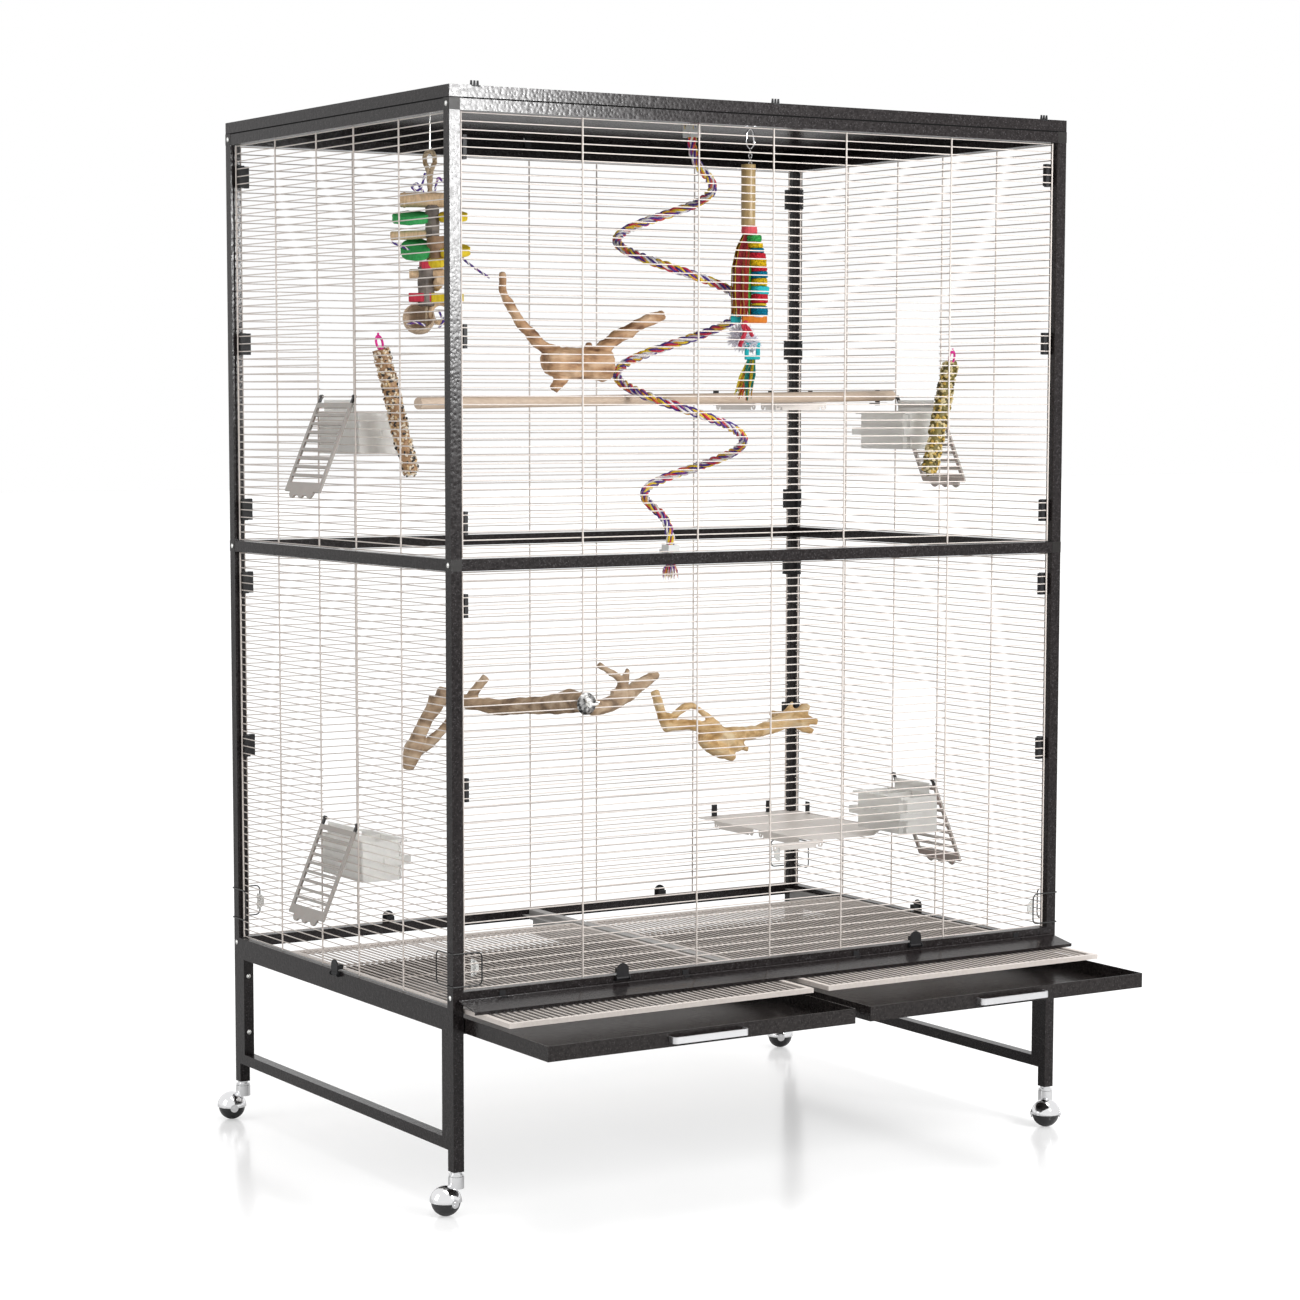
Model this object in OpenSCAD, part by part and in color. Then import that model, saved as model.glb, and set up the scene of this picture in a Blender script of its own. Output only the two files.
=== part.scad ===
// Two-storey bird aviary on casters: square-tube frame, welded wire panels, pull-out trays and grids,
// landing doors with feeders, and the perches, shelves and toys hung inside.
// Millimetres, +Z up, the origin on the floor under the middle of the whole outline.
// Inside the file the front faces of the posts lie at y = 0 and the cage is centred on x = 0.

/* [Frame] */
// Width over the posts
cage_w = 1300; // [1200:10:1400]
// Depth over the posts
cage_d = 860; // [820:10:960]
// Side of the square tube
tube = 20; // [20:1:22]
// Wall of the square tube
tube_wall = 1.5; // [1.2:0.1:2]
// Clear height of each storey between its rails
storey_h = 735; // [700:5:780]
// Floor to the underside of the legs
caster_h = 73; // [73:1:78]
// Underside of the legs to the underside of the base rails
stand_h = 259; // [240:1:300]
// How much higher the front base rail sits, for the trays and grids to pass under it
front_raise = 8; // [7:0.5:9]
// Foot to the underside of the stand's lower stretchers
stretcher_z = 36; // [20:1:60]
// Height of the roof lid
roof_h = 21; // [16:1:30]
// Sheet thickness of the roof, trays, flap and shelves
sheet = 1.2; // [1:0.1:1.5]

/* [Wire panels] */
// Diameter of the level wires
wire_d = 2; // [1.8:0.1:2.2]
// Diameter of the upright wires
rod_d = 3; // [2.6:0.1:3.4]
// Spaces between level wires in a full storey
wire_spaces = 52; // [48:1:56]
// Gap between the end wires of a panel and the rails
panel_gap = 1.5; // [1:0.1:2.5]
// Gap between the outer upright wires and the posts, centre line to face
edge_gap = 6; // [5:0.5:7]
// Distance between the two upright wires beside the middle of the front and back
front_pair = 312; // [260:4:360]
// Distance between the two upright wires beside the landing doors
side_pair = 144; // [140:1:150]
// First and last level wires of a landing door's opening, counted from the top
door_rows = [19, 33]; // [16:1:34]
// Rows at which the clips hold the panels, counted from the top
clip_rows = [4, 26, 48]; // [3:1:48]

/* [Trays and grids] */
// Gap between the two trays, for the middle bar
tray_middle = 32; // [32:1:60]
// Depth of a tray and of a floor grid
tray_d = 812; // [780:1:815]
// Height of a tray
tray_h = 26; // [20:1:28]
// Tray underside above the underside of the legs
tray_z = 236.4; // [234:0.1:240]
// Height of a floor grid's frame
grid_h = 8; // [6:0.5:8]
// Width of a floor grid's frame
grid_rim = 10; // [8:1:14]
// Wires in a floor grid
grid_wires = 45; // [30:1:60]
// How far the trays are pulled out of the front
tray_out = 273; // [200:1:330]
// How far the grids are pulled out of the front
grid_out = 150; // [100:1:190]
// Length of a tray handle
handle_w = 150; // [120:1:180]
// How far a handle stands off its tray
handle_out = 18; // [14:1:24]

/* [Flap and latches] */
// Width of the flap's sheet, hinge to edge
flap_l = 57; // [50:1:60]
// Slope of the raised flap below level
flap_tilt = 10; // [8:1:12]
// Distance between the hooks that carry the flap
hook_pitch = 370; // [340:5:380]
// Width of a latch tab
latch_w = 24; // [20:1:28]
// Height of a latch tab above its pin
latch_h = 26; // [22:1:30]
// Middle of the cage to each front and back latch
latch_x = 317; // [250:1:330]
// Reach of a lock ring from the corner of the post
ring_reach = 55; // [54:1:56]
// Wire of a lock ring
ring_wire = 2.6; // [2:0.1:3]

/* [Casters] */
// Diameter of the ball
ball_d = 50; // [48:0.5:50]
// Distance from the swivel axis to the ball's centre
caster_trail = 22; // [20:0.5:24]
// Directions in which the casters trail: front left, front right, back left, back right
caster_turn = [188, 234, 165, 150]; // [0:1:359]

/* [Furnishings] */
// Width of a landing door
landing_w = 136; // [130:1:137]
// Angle of a lowered landing door from its closed place
landing_open = 157; // [150:1:165]
// Feeder width, depth and height
feeder = [160, 84, 72]; // [70:1:170]
// Height of each corner shelf above the rails of its storey
shelf_zs = [157, 259]; // [140:1:270]
// Width and length of a corner shelf
shelf_size = [237, 402]; // [200:1:420]
// Diameter of the long dowel perch
dowel_d = 20; // [16:1:24]
// Diameter of the rope perch
rope_d = 16; // [12:1:18]
// Radius of the rope perch's coil
rope_r = 116; // [100:1:118]
// Rise of each turn of the rope perch
rope_pitch = 243; // [200:1:260]

/* [Hidden] */
$fn = 32;

// Gap left between loose pieces that sit on each other
seat = 0.3;
// Radial clearance of a pin in its hole
running = 0.06;
// Gap at the welds, where a round wire meets a round wire
weld = 0.02;

z_base = caster_h + stand_h;
z_base_top = z_base + tube;
z_front = z_base_top + front_raise;
z_front_top = z_front + tube;
z_mid = z_base_top + storey_h;
z_mid_top = z_mid + tube;
z_top = z_mid_top + storey_h;
z_roof = z_top + tube;
bay_w = cage_w - 2 * tube;
bay_d = cage_d - 2 * tube;
side_x = cage_w / 2;
post_x = side_x - tube;
pitch = (storey_h - 2 * panel_gap - wire_d) / wire_spaces;
front_spaces = floor((z_mid - z_front_top - 2 * panel_gap - wire_d + 1) / pitch);
// Depth of the two wire layers behind the outer face of the posts
rod_y = tube / 2 - rod_d / 2;
level_y = rod_y + rod_d / 2 + wire_d / 2 + weld;
// Faces that furniture inside the cage rests against
inside_x = side_x - level_y - wire_d / 2 - seat;
inside_front = level_y + wire_d / 2 + seat;
inside_back = cage_d - inside_front;

hood_r = ball_d / 2 + 2.4;
stem_at = [[-1, 0], [1, 0], [-1, 1], [1, 1]];
function stem_x(i) = stem_at[i][0] * (side_x - tube / 2);
function stem_y(i) = stem_at[i][1] * (cage_d - tube) + tube / 2;
function ball_x(i) = stem_x(i) + caster_trail * cos(caster_turn[i]);
function ball_y(i) = stem_y(i) + caster_trail * sin(caster_turn[i]);
reach_front = -tray_out - handle_out;
reach_back = max([for (i = [0:3]) ball_y(i) + hood_r]);
mid_y = (reach_front + reach_back) / 2;

// Moves the cage frame so that the origin lies under the middle of the outline
module placed() translate([0, -mid_y, 0]) children();

// A length of square tube standing on the origin's corner
module tube_z(len) linear_extrude(len) difference() {
    square(tube);
    translate([tube_wall, tube_wall]) square(tube - 2 * tube_wall);
}
module tube_x(len) rotate([90, 0, 90]) tube_z(len);
module tube_y(len) translate([0, 0, tube]) rotate([-90, 0, 0]) tube_z(len);

// Repeats a front left piece at the four corners
module corners() for (sx = [0, 1]) for (sy = [0, 1])
    mirror([sx, 0, 0]) translate([0, sy * cage_d, 0]) mirror([0, sy, 0]) children();
// Repeats a left piece on the right
module both_sides() for (s = [0, 1]) mirror([s, 0, 0]) children();

screw_r = 1.8;
screw_hole = screw_r + running;
screw_zs = [z_top + tube / 2, z_mid + tube / 2];
base_screw_zs = [z_front + tube / 2, z_base + tube / 2];
bolt_zs = [caster_h + 99, caster_h + 207];

// Cuts for the bolts that run through a stand frame into the leg beside it
module bolt_cuts() for (z = bolt_zs) translate([-side_x + tube / 2, 2 * tube + 1, z])
    rotate([90, 0, 0]) cylinder(r = screw_hole, h = tube + 4);

module lower_posts() color("#3a3735") placed() both_sides() for (sy = [0, 1]) difference() {
    translate([-side_x, sy * (cage_d - tube), caster_h]) tube_z(z_mid - caster_h);
    translate([-side_x - 1, sy * (cage_d - tube) + tube / 2, base_screw_zs[sy]])
        rotate([0, 90, 0]) cylinder(r = screw_hole, h = tube_wall + 2);
    translate([0, sy * cage_d, 0]) mirror([0, sy, 0]) bolt_cuts();
}
module upper_posts() color("#3a3735") placed() corners()
    translate([-side_x, 0, z_mid_top]) tube_z(z_top - z_mid_top);

// Moulded corner block: two faces stand proud, and square spigots fill the tubes that meet there
proud = 0.4;
spigot = tube - 2 * tube_wall - 2 * seat;
spigot_l = 22;
module connector(z, up) difference() {
    union() {
        translate([-side_x - proud, -proud, z]) cube([tube + proud, tube + proud, tube]);
        translate([-side_x + tube, tube_wall + seat, z + tube_wall + seat])
            cube([spigot_l, spigot, spigot]);
        translate([-side_x + tube_wall + seat, tube, z + tube_wall + seat])
            cube([spigot, spigot_l, spigot]);
        translate([-side_x + tube_wall + seat, tube_wall + seat, z - spigot_l])
            cube([spigot, spigot, spigot_l]);
        if (up) translate([-side_x + tube_wall + seat, tube_wall + seat, z + tube])
            cube([spigot, spigot, spigot_l]);
    }
    translate([-side_x - proud - 1, tube / 2, z + tube / 2])
        rotate([0, 90, 0]) cylinder(r = screw_hole, h = 15);
}
module mid_connectors() color("#34312f") placed() corners() connector(z_mid, true);
module top_connectors() color("#34312f") placed() corners() connector(z_top, false);

// Four rails between the corners at one height
module rail_ring(z) {
    for (y = [0, cage_d - tube]) translate([-post_x, y, z]) tube_x(bay_w);
    both_sides() translate([-side_x, tube, z]) tube_y(bay_d);
}
module storey_rails() color("#3a3735") placed() {
    rail_ring(z_mid);
    rail_ring(z_top);
}
module base_rails() color("#3a3735") placed() {
    translate([-post_x, 0, z_front]) tube_x(bay_w);
    translate([-post_x, cage_d - tube, z_base]) tube_x(bay_w);
    both_sides() translate([-side_x, tube, z_base]) tube_y(bay_d);
}

// Mitred rectangular frame bolted between the two legs of a side
stand_z0 = caster_h + stretcher_z;
stand_z1 = z_base;
module mitred(len) intersection() {
    tube_y(len);
    rotate([90, 0, 90]) linear_extrude(tube) polygon([[0, 0], [len, 0], [len - tube, tube], [tube, tube]]);
}
module stand_frames() color("#3a3735") placed() both_sides() translate([-side_x, tube, 0]) {
    translate([0, 0, stand_z0]) mitred(bay_d);
    translate([0, 0, stand_z1]) mirror([0, 0, 1]) mitred(bay_d);
    for (m = [0, 1]) translate([0, m * bay_d, 0]) mirror([0, m, 0]) difference() {
        translate([0, 0, stand_z0]) mirror([0, 1, -1]) mitred(stand_z1 - stand_z0);
        translate([side_x, -tube, 0]) bolt_cuts();
    }
}

// Pan-head screw with a cross recess, its head on the plane z = 0
head_r = 4.4;
head_h = 2.4;
module pan_screw(len) {
    translate([0, 0, -len]) cylinder(r = screw_r, h = len);
    difference() {
        intersection() {
            cylinder(r = head_r, h = head_h);
            translate([0, 0, head_h - 6.2]) sphere(r = 6.2);
        }
        for (a = [0, 90]) rotate(a) translate([-2.2, -0.45, head_h - 1.3]) cube([4.4, 0.9, 2]);
    }
}
// Screws through the outer side faces, and the bolts of the stand frames
module frame_screws() color("silver") placed() both_sides() {
    for (z = screw_zs) for (y = [tube / 2, cage_d - tube / 2])
        translate([-side_x - proud, y, z]) rotate([0, -90, 0]) pan_screw(12);
    for (k = [0, 1]) translate([-side_x, k * (cage_d - tube) + tube / 2, base_screw_zs[k]])
        rotate([0, -90, 0]) pan_screw(9);
    for (z = bolt_zs) {
        translate([-side_x + tube / 2, 2 * tube, z]) rotate([-90, 0, 0]) pan_screw(tube + 6);
        translate([-side_x + tube / 2, cage_d - 2 * tube, z]) rotate([90, 0, 0]) pan_screw(tube + 6);
    }
}

// Folded lid: top sheet, skirt and a flange that rests on the rails, notched over each clip
roof_flange = 14;
clip_teeth = 3;
roof_clip_w = 15;
roof_clip_l = 11;
roof_clip_y = 3;
roof_clip_t = 1.6;
roof_clip_xs = [-1, 0, 1] * (side_x - 50);
notch_l = roof_clip_y + roof_clip_l + 1;
module roof() color("#34312f") placed() translate([-side_x, 0, z_roof]) difference() {
    cube([cage_w, cage_d, roof_h]);
    translate([sheet, sheet, sheet]) cube([cage_w - 2 * sheet, cage_d - 2 * sheet, roof_h - 2 * sheet]);
    translate([roof_flange, roof_flange, -1])
        cube([cage_w - 2 * roof_flange, cage_d - 2 * roof_flange, 3]);
    for (y = [-1, cage_d - notch_l]) for (x = roof_clip_xs)
        translate([side_x + x - roof_clip_w / 2 - seat, y, roof_h - sheet - 1])
            cube([roof_clip_w + 2 * seat, notch_l + 1, sheet + 2]);
}
// Three sprung clips in the front and in the back edge of the roof. Each stands on the flange inside
// the lid and shows its teeth through the notch.
module roof_clip() {
    foot = sheet + seat;
    rotate([90, 0, 90]) linear_extrude(roof_clip_w) polygon([
        [0, foot], [roof_clip_l - 1, foot], [roof_clip_l - 1, foot + roof_clip_t],
        [roof_clip_t, foot + roof_clip_t], [roof_clip_t, roof_h - roof_clip_t],
        [roof_clip_l, roof_h - roof_clip_t], [roof_clip_l, roof_h], [0, roof_h]]);
    for (i = [0:clip_teeth - 1]) translate([i * (roof_clip_w - 3) / (clip_teeth - 1), 0, roof_h])
        rotate([90, 0, 90]) linear_extrude(3) polygon([[0, 0], [4, 0], [2.6, 8], [1, 8]]);
}
module roof_clips() color("#2b2928") placed() for (k = [0, 1]) translate([0, k * cage_d, z_roof])
    mirror([0, k, 0]) for (x = roof_clip_xs) translate([x - roof_clip_w / 2, roof_clip_y, 0]) roof_clip();

// Welded wire panel standing in the plane y = 0, its top at z_hi. Outer upright rods lie in front.
// gate is [half width, first row, last row] of an opening left between the two middle rods.
module wire_panel(w, z_hi, spaces, rods, gate) {
    top = z_hi - panel_gap - wire_d / 2;
    half = w / 2 - edge_gap;
    all_rods = concat([-half, half], rods);
    for (x = all_rods) translate([x, rod_y, top - spaces * pitch - wire_d / 2])
        cylinder(d = rod_d, h = spaces * pitch + wire_d);
    for (i = [0:spaces]) translate([0, level_y, top - i * pitch]) rotate([0, 90, 0])
        if (len(gate) == 3 && i > gate[1] && i < gate[2]) {
            for (s = [0, 1]) mirror([0, 0, s]) translate([0, 0, gate[0] - rod_d / 2])
                cylinder(d = wire_d, h = half - gate[0] + rod_d);
        } else translate([0, 0, -half - rod_d / 2]) cylinder(d = wire_d, h = 2 * half + rod_d);
}
front_half = bay_w / 2 - edge_gap;
side_half = bay_d / 2 - edge_gap;
front_rods = [for (s = [-1, 1]) each [s * front_pair / 2, s * (front_pair / 2 + front_half) / 2], 0];
side_rods = [for (s = [-1, 1]) each [s * side_pair / 2, s * (side_pair / 2 + side_half) / 2]];
side_gate = [side_pair / 2, door_rows[0], door_rows[1]];
module on_left() translate([-side_x, cage_d / 2, 0]) rotate(-90) children();
module front_upper_panel() color("ivory") placed()
    wire_panel(bay_w, z_top, wire_spaces, front_rods, []);
module front_lower_panel() color("ivory") placed()
    wire_panel(bay_w, z_mid, front_spaces, front_rods, []);
module back_side() translate([0, cage_d, 0]) mirror([0, 1, 0]) children();
module back_upper_panel() color("ivory") placed() back_side()
    wire_panel(bay_w, z_top, wire_spaces, front_rods, []);
module back_lower_panel() color("ivory") placed() back_side()
    wire_panel(bay_w, z_mid, wire_spaces, front_rods, []);
module side_upper_panels() color("ivory") placed() both_sides() on_left()
    wire_panel(bay_d, z_top, wire_spaces, side_rods, side_gate);
module side_lower_panels() color("ivory") placed() both_sides() on_left()
    wire_panel(bay_d, z_mid, wire_spaces, side_rods, side_gate);

// Moulded clip in the inner corner of a post. Its two combs reach between the level wires of the
// panels that meet there, so that either panel can turn on its edge rod or be snapped off.
clip_h = 40;
clip_arm = 18;
clip_back = level_y + wire_d / 2 + 0.5;
tooth_reach = wire_d / 2 + 1.4;
module clip_plan() polygon([
    [0, clip_back - tube], [clip_arm, clip_back - tube], [clip_arm, 0], [8, 0],
    [0, 8], [0, clip_arm], [clip_back - tube, clip_arm], [clip_back - tube, 0], [0, 0]]);
module clip_comb() for (k = [-1.5, -0.5, 0.5, 1.5]) {
    tooth_h = abs(k) > 1 ? (clip_h - 2 * pitch) / 2 - wire_d / 2 - seat : pitch - wire_d - 2 * seat;
    z = abs(k) > 1 ? sign(k) * (clip_h / 2 - tooth_h / 2) : k * pitch;
    translate([clip_arm - 7, clip_back - tube - tooth_reach, z - tooth_h / 2])
        cube([7, tooth_reach + 1, tooth_h]);
}
module corner_clip() {
    translate([0, 0, -clip_h / 2]) linear_extrude(clip_h) clip_plan();
    clip_comb();
    mirror([1, -1, 0]) clip_comb();
}
module panel_clips() color("#1c1b1b") placed() corners() translate([-post_x, tube, 0]) {
    for (r = clip_rows) translate([0, 0, z_top - panel_gap - wire_d / 2 - r * pitch]) corner_clip();
    for (r = [clip_rows[0], clip_rows[1]])
        translate([0, 0, z_mid - panel_gap - wire_d / 2 - r * pitch]) corner_clip();
}

// Runners: strips spot-welded into channels along the sides, and a middle bar on a web with a ledge
// for the trays below and one for the grids on each side
z_tray = caster_h + tray_z;
z_grid = z_front - front_raise - grid_h - 1;
tray_play = 3;
tray_x0 = post_x - tray_play;
tray_w = tray_x0 - tray_middle / 2;
ledge = 13;
bar_w = 20;
module strip(x, w, z, h) translate([x, 2, z]) cube([w, run_l, h]);
run_l = bay_d + tube - 2;
inner_ledge = tray_middle / 2 + ledge - tray_play;
module runners() color("#55524f") placed() {
    both_sides() {
        for (z = [z_tray, z_grid]) strip(-post_x, ledge, z - sheet, sheet);
        strip(-post_x, sheet, z_tray + weld, z_grid - sheet - z_tray - 2 * weld);
        strip(-inner_ledge, inner_ledge - bar_w / 2 - weld, z_grid - sheet, sheet);
    }
    strip(-inner_ledge, 2 * inner_ledge, z_tray - sheet, sheet);
    strip(-sheet, 2 * sheet, z_tray + weld, z_base - z_tray + 1);
    strip(-bar_w / 2, bar_w, z_base, tube);
    translate([-bar_w / 2, 2, z_base_top + weld]) cube([bar_w, tube - 4, front_raise - weld]);
}

// Folded open tray
module tray() translate([-tray_x0, -tray_out, z_tray]) difference() {
    cube([tray_w, tray_d, tray_h]);
    translate([sheet, sheet, sheet]) cube([tray_w - 2 * sheet, tray_d - 2 * sheet, tray_h]);
}
module tray_left() color("#34312f") placed() tray();
module tray_right() color("#34312f") placed() mirror([1, 0, 0]) tray();

// Bow handle bent from flat aluminium bar
handle_t = 3;
handle_h = 11;
module handle() translate([-tray_x0 + tray_w / 2, -tray_out, z_tray + tray_h / 2 - handle_h / 2]) {
    linear_extrude(handle_h) difference() {
        handle_plan(0);
        handle_plan(handle_t);
    }
}
handle_bend = 8;
module handle_plan(in) {
    w = handle_w / 2 - in;
    depth = handle_out - in;
    bend = handle_bend - in;
    translate([-w, -depth + bend]) square([2 * w, depth - bend + in]);
    translate([-w + bend, -depth]) square([2 * (w - bend), depth]);
    for (s = [-1, 1]) translate([s * (w - bend), -depth + bend]) circle(bend);
}
module handle_left() color("silver") placed() handle();
module handle_right() color("silver") placed() mirror([1, 0, 0]) handle();

// Floor grid: folded rim with long wires let in between, and cross wires under them
cross_wires = 4;
module floor_grid() translate([-tray_x0, -grid_out, z_grid]) {
    linear_extrude(grid_h) difference() {
        square([tray_w, tray_d]);
        translate([grid_rim, grid_rim]) square([tray_w - 2 * grid_rim, tray_d - 2 * grid_rim]);
    }
    step = (tray_w - 2 * grid_rim) / (grid_wires + 1);
    for (i = [1:grid_wires]) translate([grid_rim + i * step, grid_rim, grid_h - rod_d / 2 - 0.5])
        rotate([-90, 0, 0]) cylinder(d = rod_d, h = tray_d - 2 * grid_rim);
    for (k = [1:cross_wires])
        translate([grid_rim, k * tray_d / (cross_wires + 1), grid_h - 0.5 - rod_d - weld - rod_d / 2])
            rotate([0, 90, 0]) cylinder(d = rod_d, h = tray_w - 2 * grid_rim);
}
module floor_grid_left() color("ivory") placed() floor_grid();
module floor_grid_right() color("ivory") placed() mirror([1, 0, 0]) floor_grid();

// Seed flap that hangs from four hooks on a bead along its upper edge
bead_r = 2;
flap_y = -sheet - bead_r - seat;
flap_z = z_front + 6;
hook_w = 12;
hook_xs = [-1.5, -0.5, 0.5, 1.5] * hook_pitch;
flap_w = cage_w - 18;
module flap() color("#4a4745") placed() translate([0, flap_y, flap_z]) rotate([flap_tilt, 0, 0])
    difference() {
    union() {
        translate([-flap_w / 2, 0, 0]) rotate([0, 90, 0]) cylinder(r = bead_r, h = flap_w);
        translate([-flap_w / 2, -flap_l, -sheet / 2]) cube([flap_w, flap_l, sheet]);
        translate([-flap_w / 2, -flap_l, -5]) cube([flap_w, sheet, 5]);
    }
    for (x = hook_xs) translate([x - hook_w / 2 - 1, -9, -3]) cube([hook_w + 2, 9 - bead_r - 0.2, 6]);
}
hook_lip = sheet;
module flap_hook() rotate([90, 0, 90]) translate([0, 0, -hook_w / 2]) linear_extrude(hook_w) polygon([
    [0, z_front], [0, z_front + 16], [-sheet, z_front + 16], [-sheet, flap_z - bead_r - seat],
    [flap_y - bead_r - seat, flap_z - bead_r - seat], [flap_y - bead_r - seat, flap_z + 1],
    [flap_y - bead_r - seat - hook_lip, flap_z + 1],
    [flap_y - bead_r - seat - hook_lip, z_front]]);

// Latch tab that folds outward on a pin between two ears, and its bracket on the rail
latch_pin_r = 1.3;
latch_barrel = 2.6;
latch_y = -sheet - latch_barrel - seat;
ear_t = 1.6;
latch_t = 2.4;
module latch_tab() rotate([90, 0, 0]) translate([0, 0, -latch_t / 2]) linear_extrude(latch_t) {
    translate([-latch_w / 2, 0]) square([latch_w, latch_h - latch_w / 2]);
    translate([0, latch_h - latch_w / 2]) circle(latch_w / 2);
}
module latch() translate([0, latch_y, -5]) {
    latch_tab();
    rotate([0, 90, 0]) translate([0, 0, -latch_w / 2]) cylinder(r = latch_barrel, h = latch_w);
    rotate([0, 90, 0]) translate([0, 0, -latch_w / 2 - ear_t - seat - 1])
        cylinder(r = latch_pin_r, h = latch_w + 2 * (ear_t + seat + 1));
    translate([-7, 0, 8]) cube([14, level_y - wire_d / 2 - seat - latch_y, 8]);
}
module latch_bracket() translate([0, 0, -5]) {
    plate_w = latch_w + 2 * (ear_t + seat);
    translate([-plate_w / 2, -sheet, -4]) cube([plate_w, sheet, 8]);
    for (s = [-1, 1]) translate([s * (plate_w - ear_t) / 2 - ear_t / 2, 0, 0]) difference() {
        ear_plan();
        translate([-1, latch_y, 0]) rotate([0, 90, 0]) cylinder(r = latch_pin_r + running, h = ear_t + 2);
    }
}
module ear_plan() rotate([90, 0, 90]) linear_extrude(ear_t) {
    translate([latch_y, -4]) square([-latch_y, 8]);
    translate([latch_y, 0]) circle(4);
}
module at_front(x) translate([x, 0, z_front_top]) children();
module at_back(x) back_side() translate([x, 0, z_base_top]) children();
module at_left() on_left() translate([0, 0, z_base_top]) children();
module latch_front_left() color("#1c1b1b") placed() at_front(-latch_x) latch();
module latch_front_right() color("#1c1b1b") placed() at_front(latch_x) latch();
module latch_back_left() color("#1c1b1b") placed() at_back(-latch_x) latch();
module latch_back_right() color("#1c1b1b") placed() at_back(latch_x) latch();
module latch_left() color("#1c1b1b") placed() at_left() latch();
module latch_right() color("#1c1b1b") placed() mirror([1, 0, 0]) at_left() latch();
module rail_brackets() color("#2b2928") placed() {
    for (x = hook_xs) translate([x, 0, 0]) flap_hook();
    for (s = [-1, 1]) at_front(s * latch_x) latch_bracket();
    for (s = [-1, 1]) at_back(s * latch_x) latch_bracket();
    both_sides() at_left() latch_bracket();
}

// A closed or open tube swept along points, its section carried along without twist
function unit(v) = v / norm(v);
function along(pts, i, closed) = let (n = len(pts))
    unit(pts[closed ? (i + 1) % n : min(i + 1, n - 1)] - pts[closed ? (i + n - 1) % n : max(i - 1, 0)]);
function across(t) = unit(cross(abs(t[2]) > 0.9 ? [1, 0, 0] : [0, 0, 1], t));
function carried(ts, u, i = 0) = i == len(ts) ? [] :
    let (v = unit(u - (u * ts[i]) * ts[i])) concat([v], carried(ts, v, i + 1));
function ring_at(p, r, t, u, sides) =
    [for (k = [0:sides - 1]) let (a = 360 * k / sides) p + r * (cos(a) * u + sin(a) * cross(t, u))];
module swept(pts, radii, sides = 8, closed = false) {
    n = len(pts);
    ts = [for (i = [0:n - 1]) along(pts, i, closed)];
    us = carried(ts, across(ts[0]));
    last = closed ? n - 1 : n - 2;
    walls = [for (i = [0:last]) for (k = [0:sides - 1]) let (j = (i + 1) % n, m = (k + 1) % sides)
        each [[i * sides + k, j * sides + m, i * sides + m], [i * sides + k, j * sides + k, j * sides + m]]];
    ends = closed ? [] : [for (k = [1:sides - 2])
        each [[0, k, k + 1], [(n - 1) * sides, (n - 1) * sides + k + 1, (n - 1) * sides + k]]];
    polyhedron(points = [for (i = [0:n - 1]) each ring_at(pts[i], radii[i], ts[i], us[i], sides)],
        faces = concat(walls, ends));
}

// Sprung lock rings: an upright wire loop bent round the outer edge of each lower post, its long
// sides standing between the level wires so that the door can swing past them
ring_bend = 9;
ring_half = 2 * pitch;
ring_z = z_mid - panel_gap - wire_d / 2 - 47.5 * pitch;
ring_off = ring_wire / 2 + seat;
function ring_arc(s, z, from) = [for (k = [0:4]) let (a = from + 22.5 * k)
    [s * (ring_reach - ring_bend) + ring_bend * cos(a), z * (ring_half - ring_bend) + ring_bend * sin(a)]];
ring_loop = concat(ring_arc(1, 1, 0), [[0.01, ring_half], [0, ring_half], [-0.01, ring_half]],
    ring_arc(-1, 1, 90), ring_arc(-1, -1, 180), [[-0.01, -ring_half], [0, -ring_half], [0.01, -ring_half]],
    ring_arc(1, -1, 270));
function bent(p) = p[0] > 0 ? [p[0], -ring_off, p[1]] : p[0] < 0 ? [-ring_off, -p[0], p[1]]
    : [-0.71 * ring_off, -0.71 * ring_off, p[1]];
module lock_rings() color("#1c1b1b") placed() corners() translate([-side_x, 0, ring_z])
    swept([for (p = ring_loop) bent(p)], [for (p = ring_loop) ring_wire / 2], 6, true);

// Half-round plates with a rivet, inside the cage where the rings' ends meet the panels
plate_r = 15;
module ring_plate() {
    rotate([90, 0, 0]) linear_extrude(1.5) intersection() {
        circle(plate_r);
        translate([0, -plate_r]) square([plate_r, 2 * plate_r]);
    }
    translate([6, -1.5, 0]) rotate([90, 0, 0]) cylinder(r = 2.5, h = 1.2);
}
module ring_plates() color("#6b6864") placed() corners() translate([-post_x + 22, inside_front + 1.5, ring_z])
    ring_plate();

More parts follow.
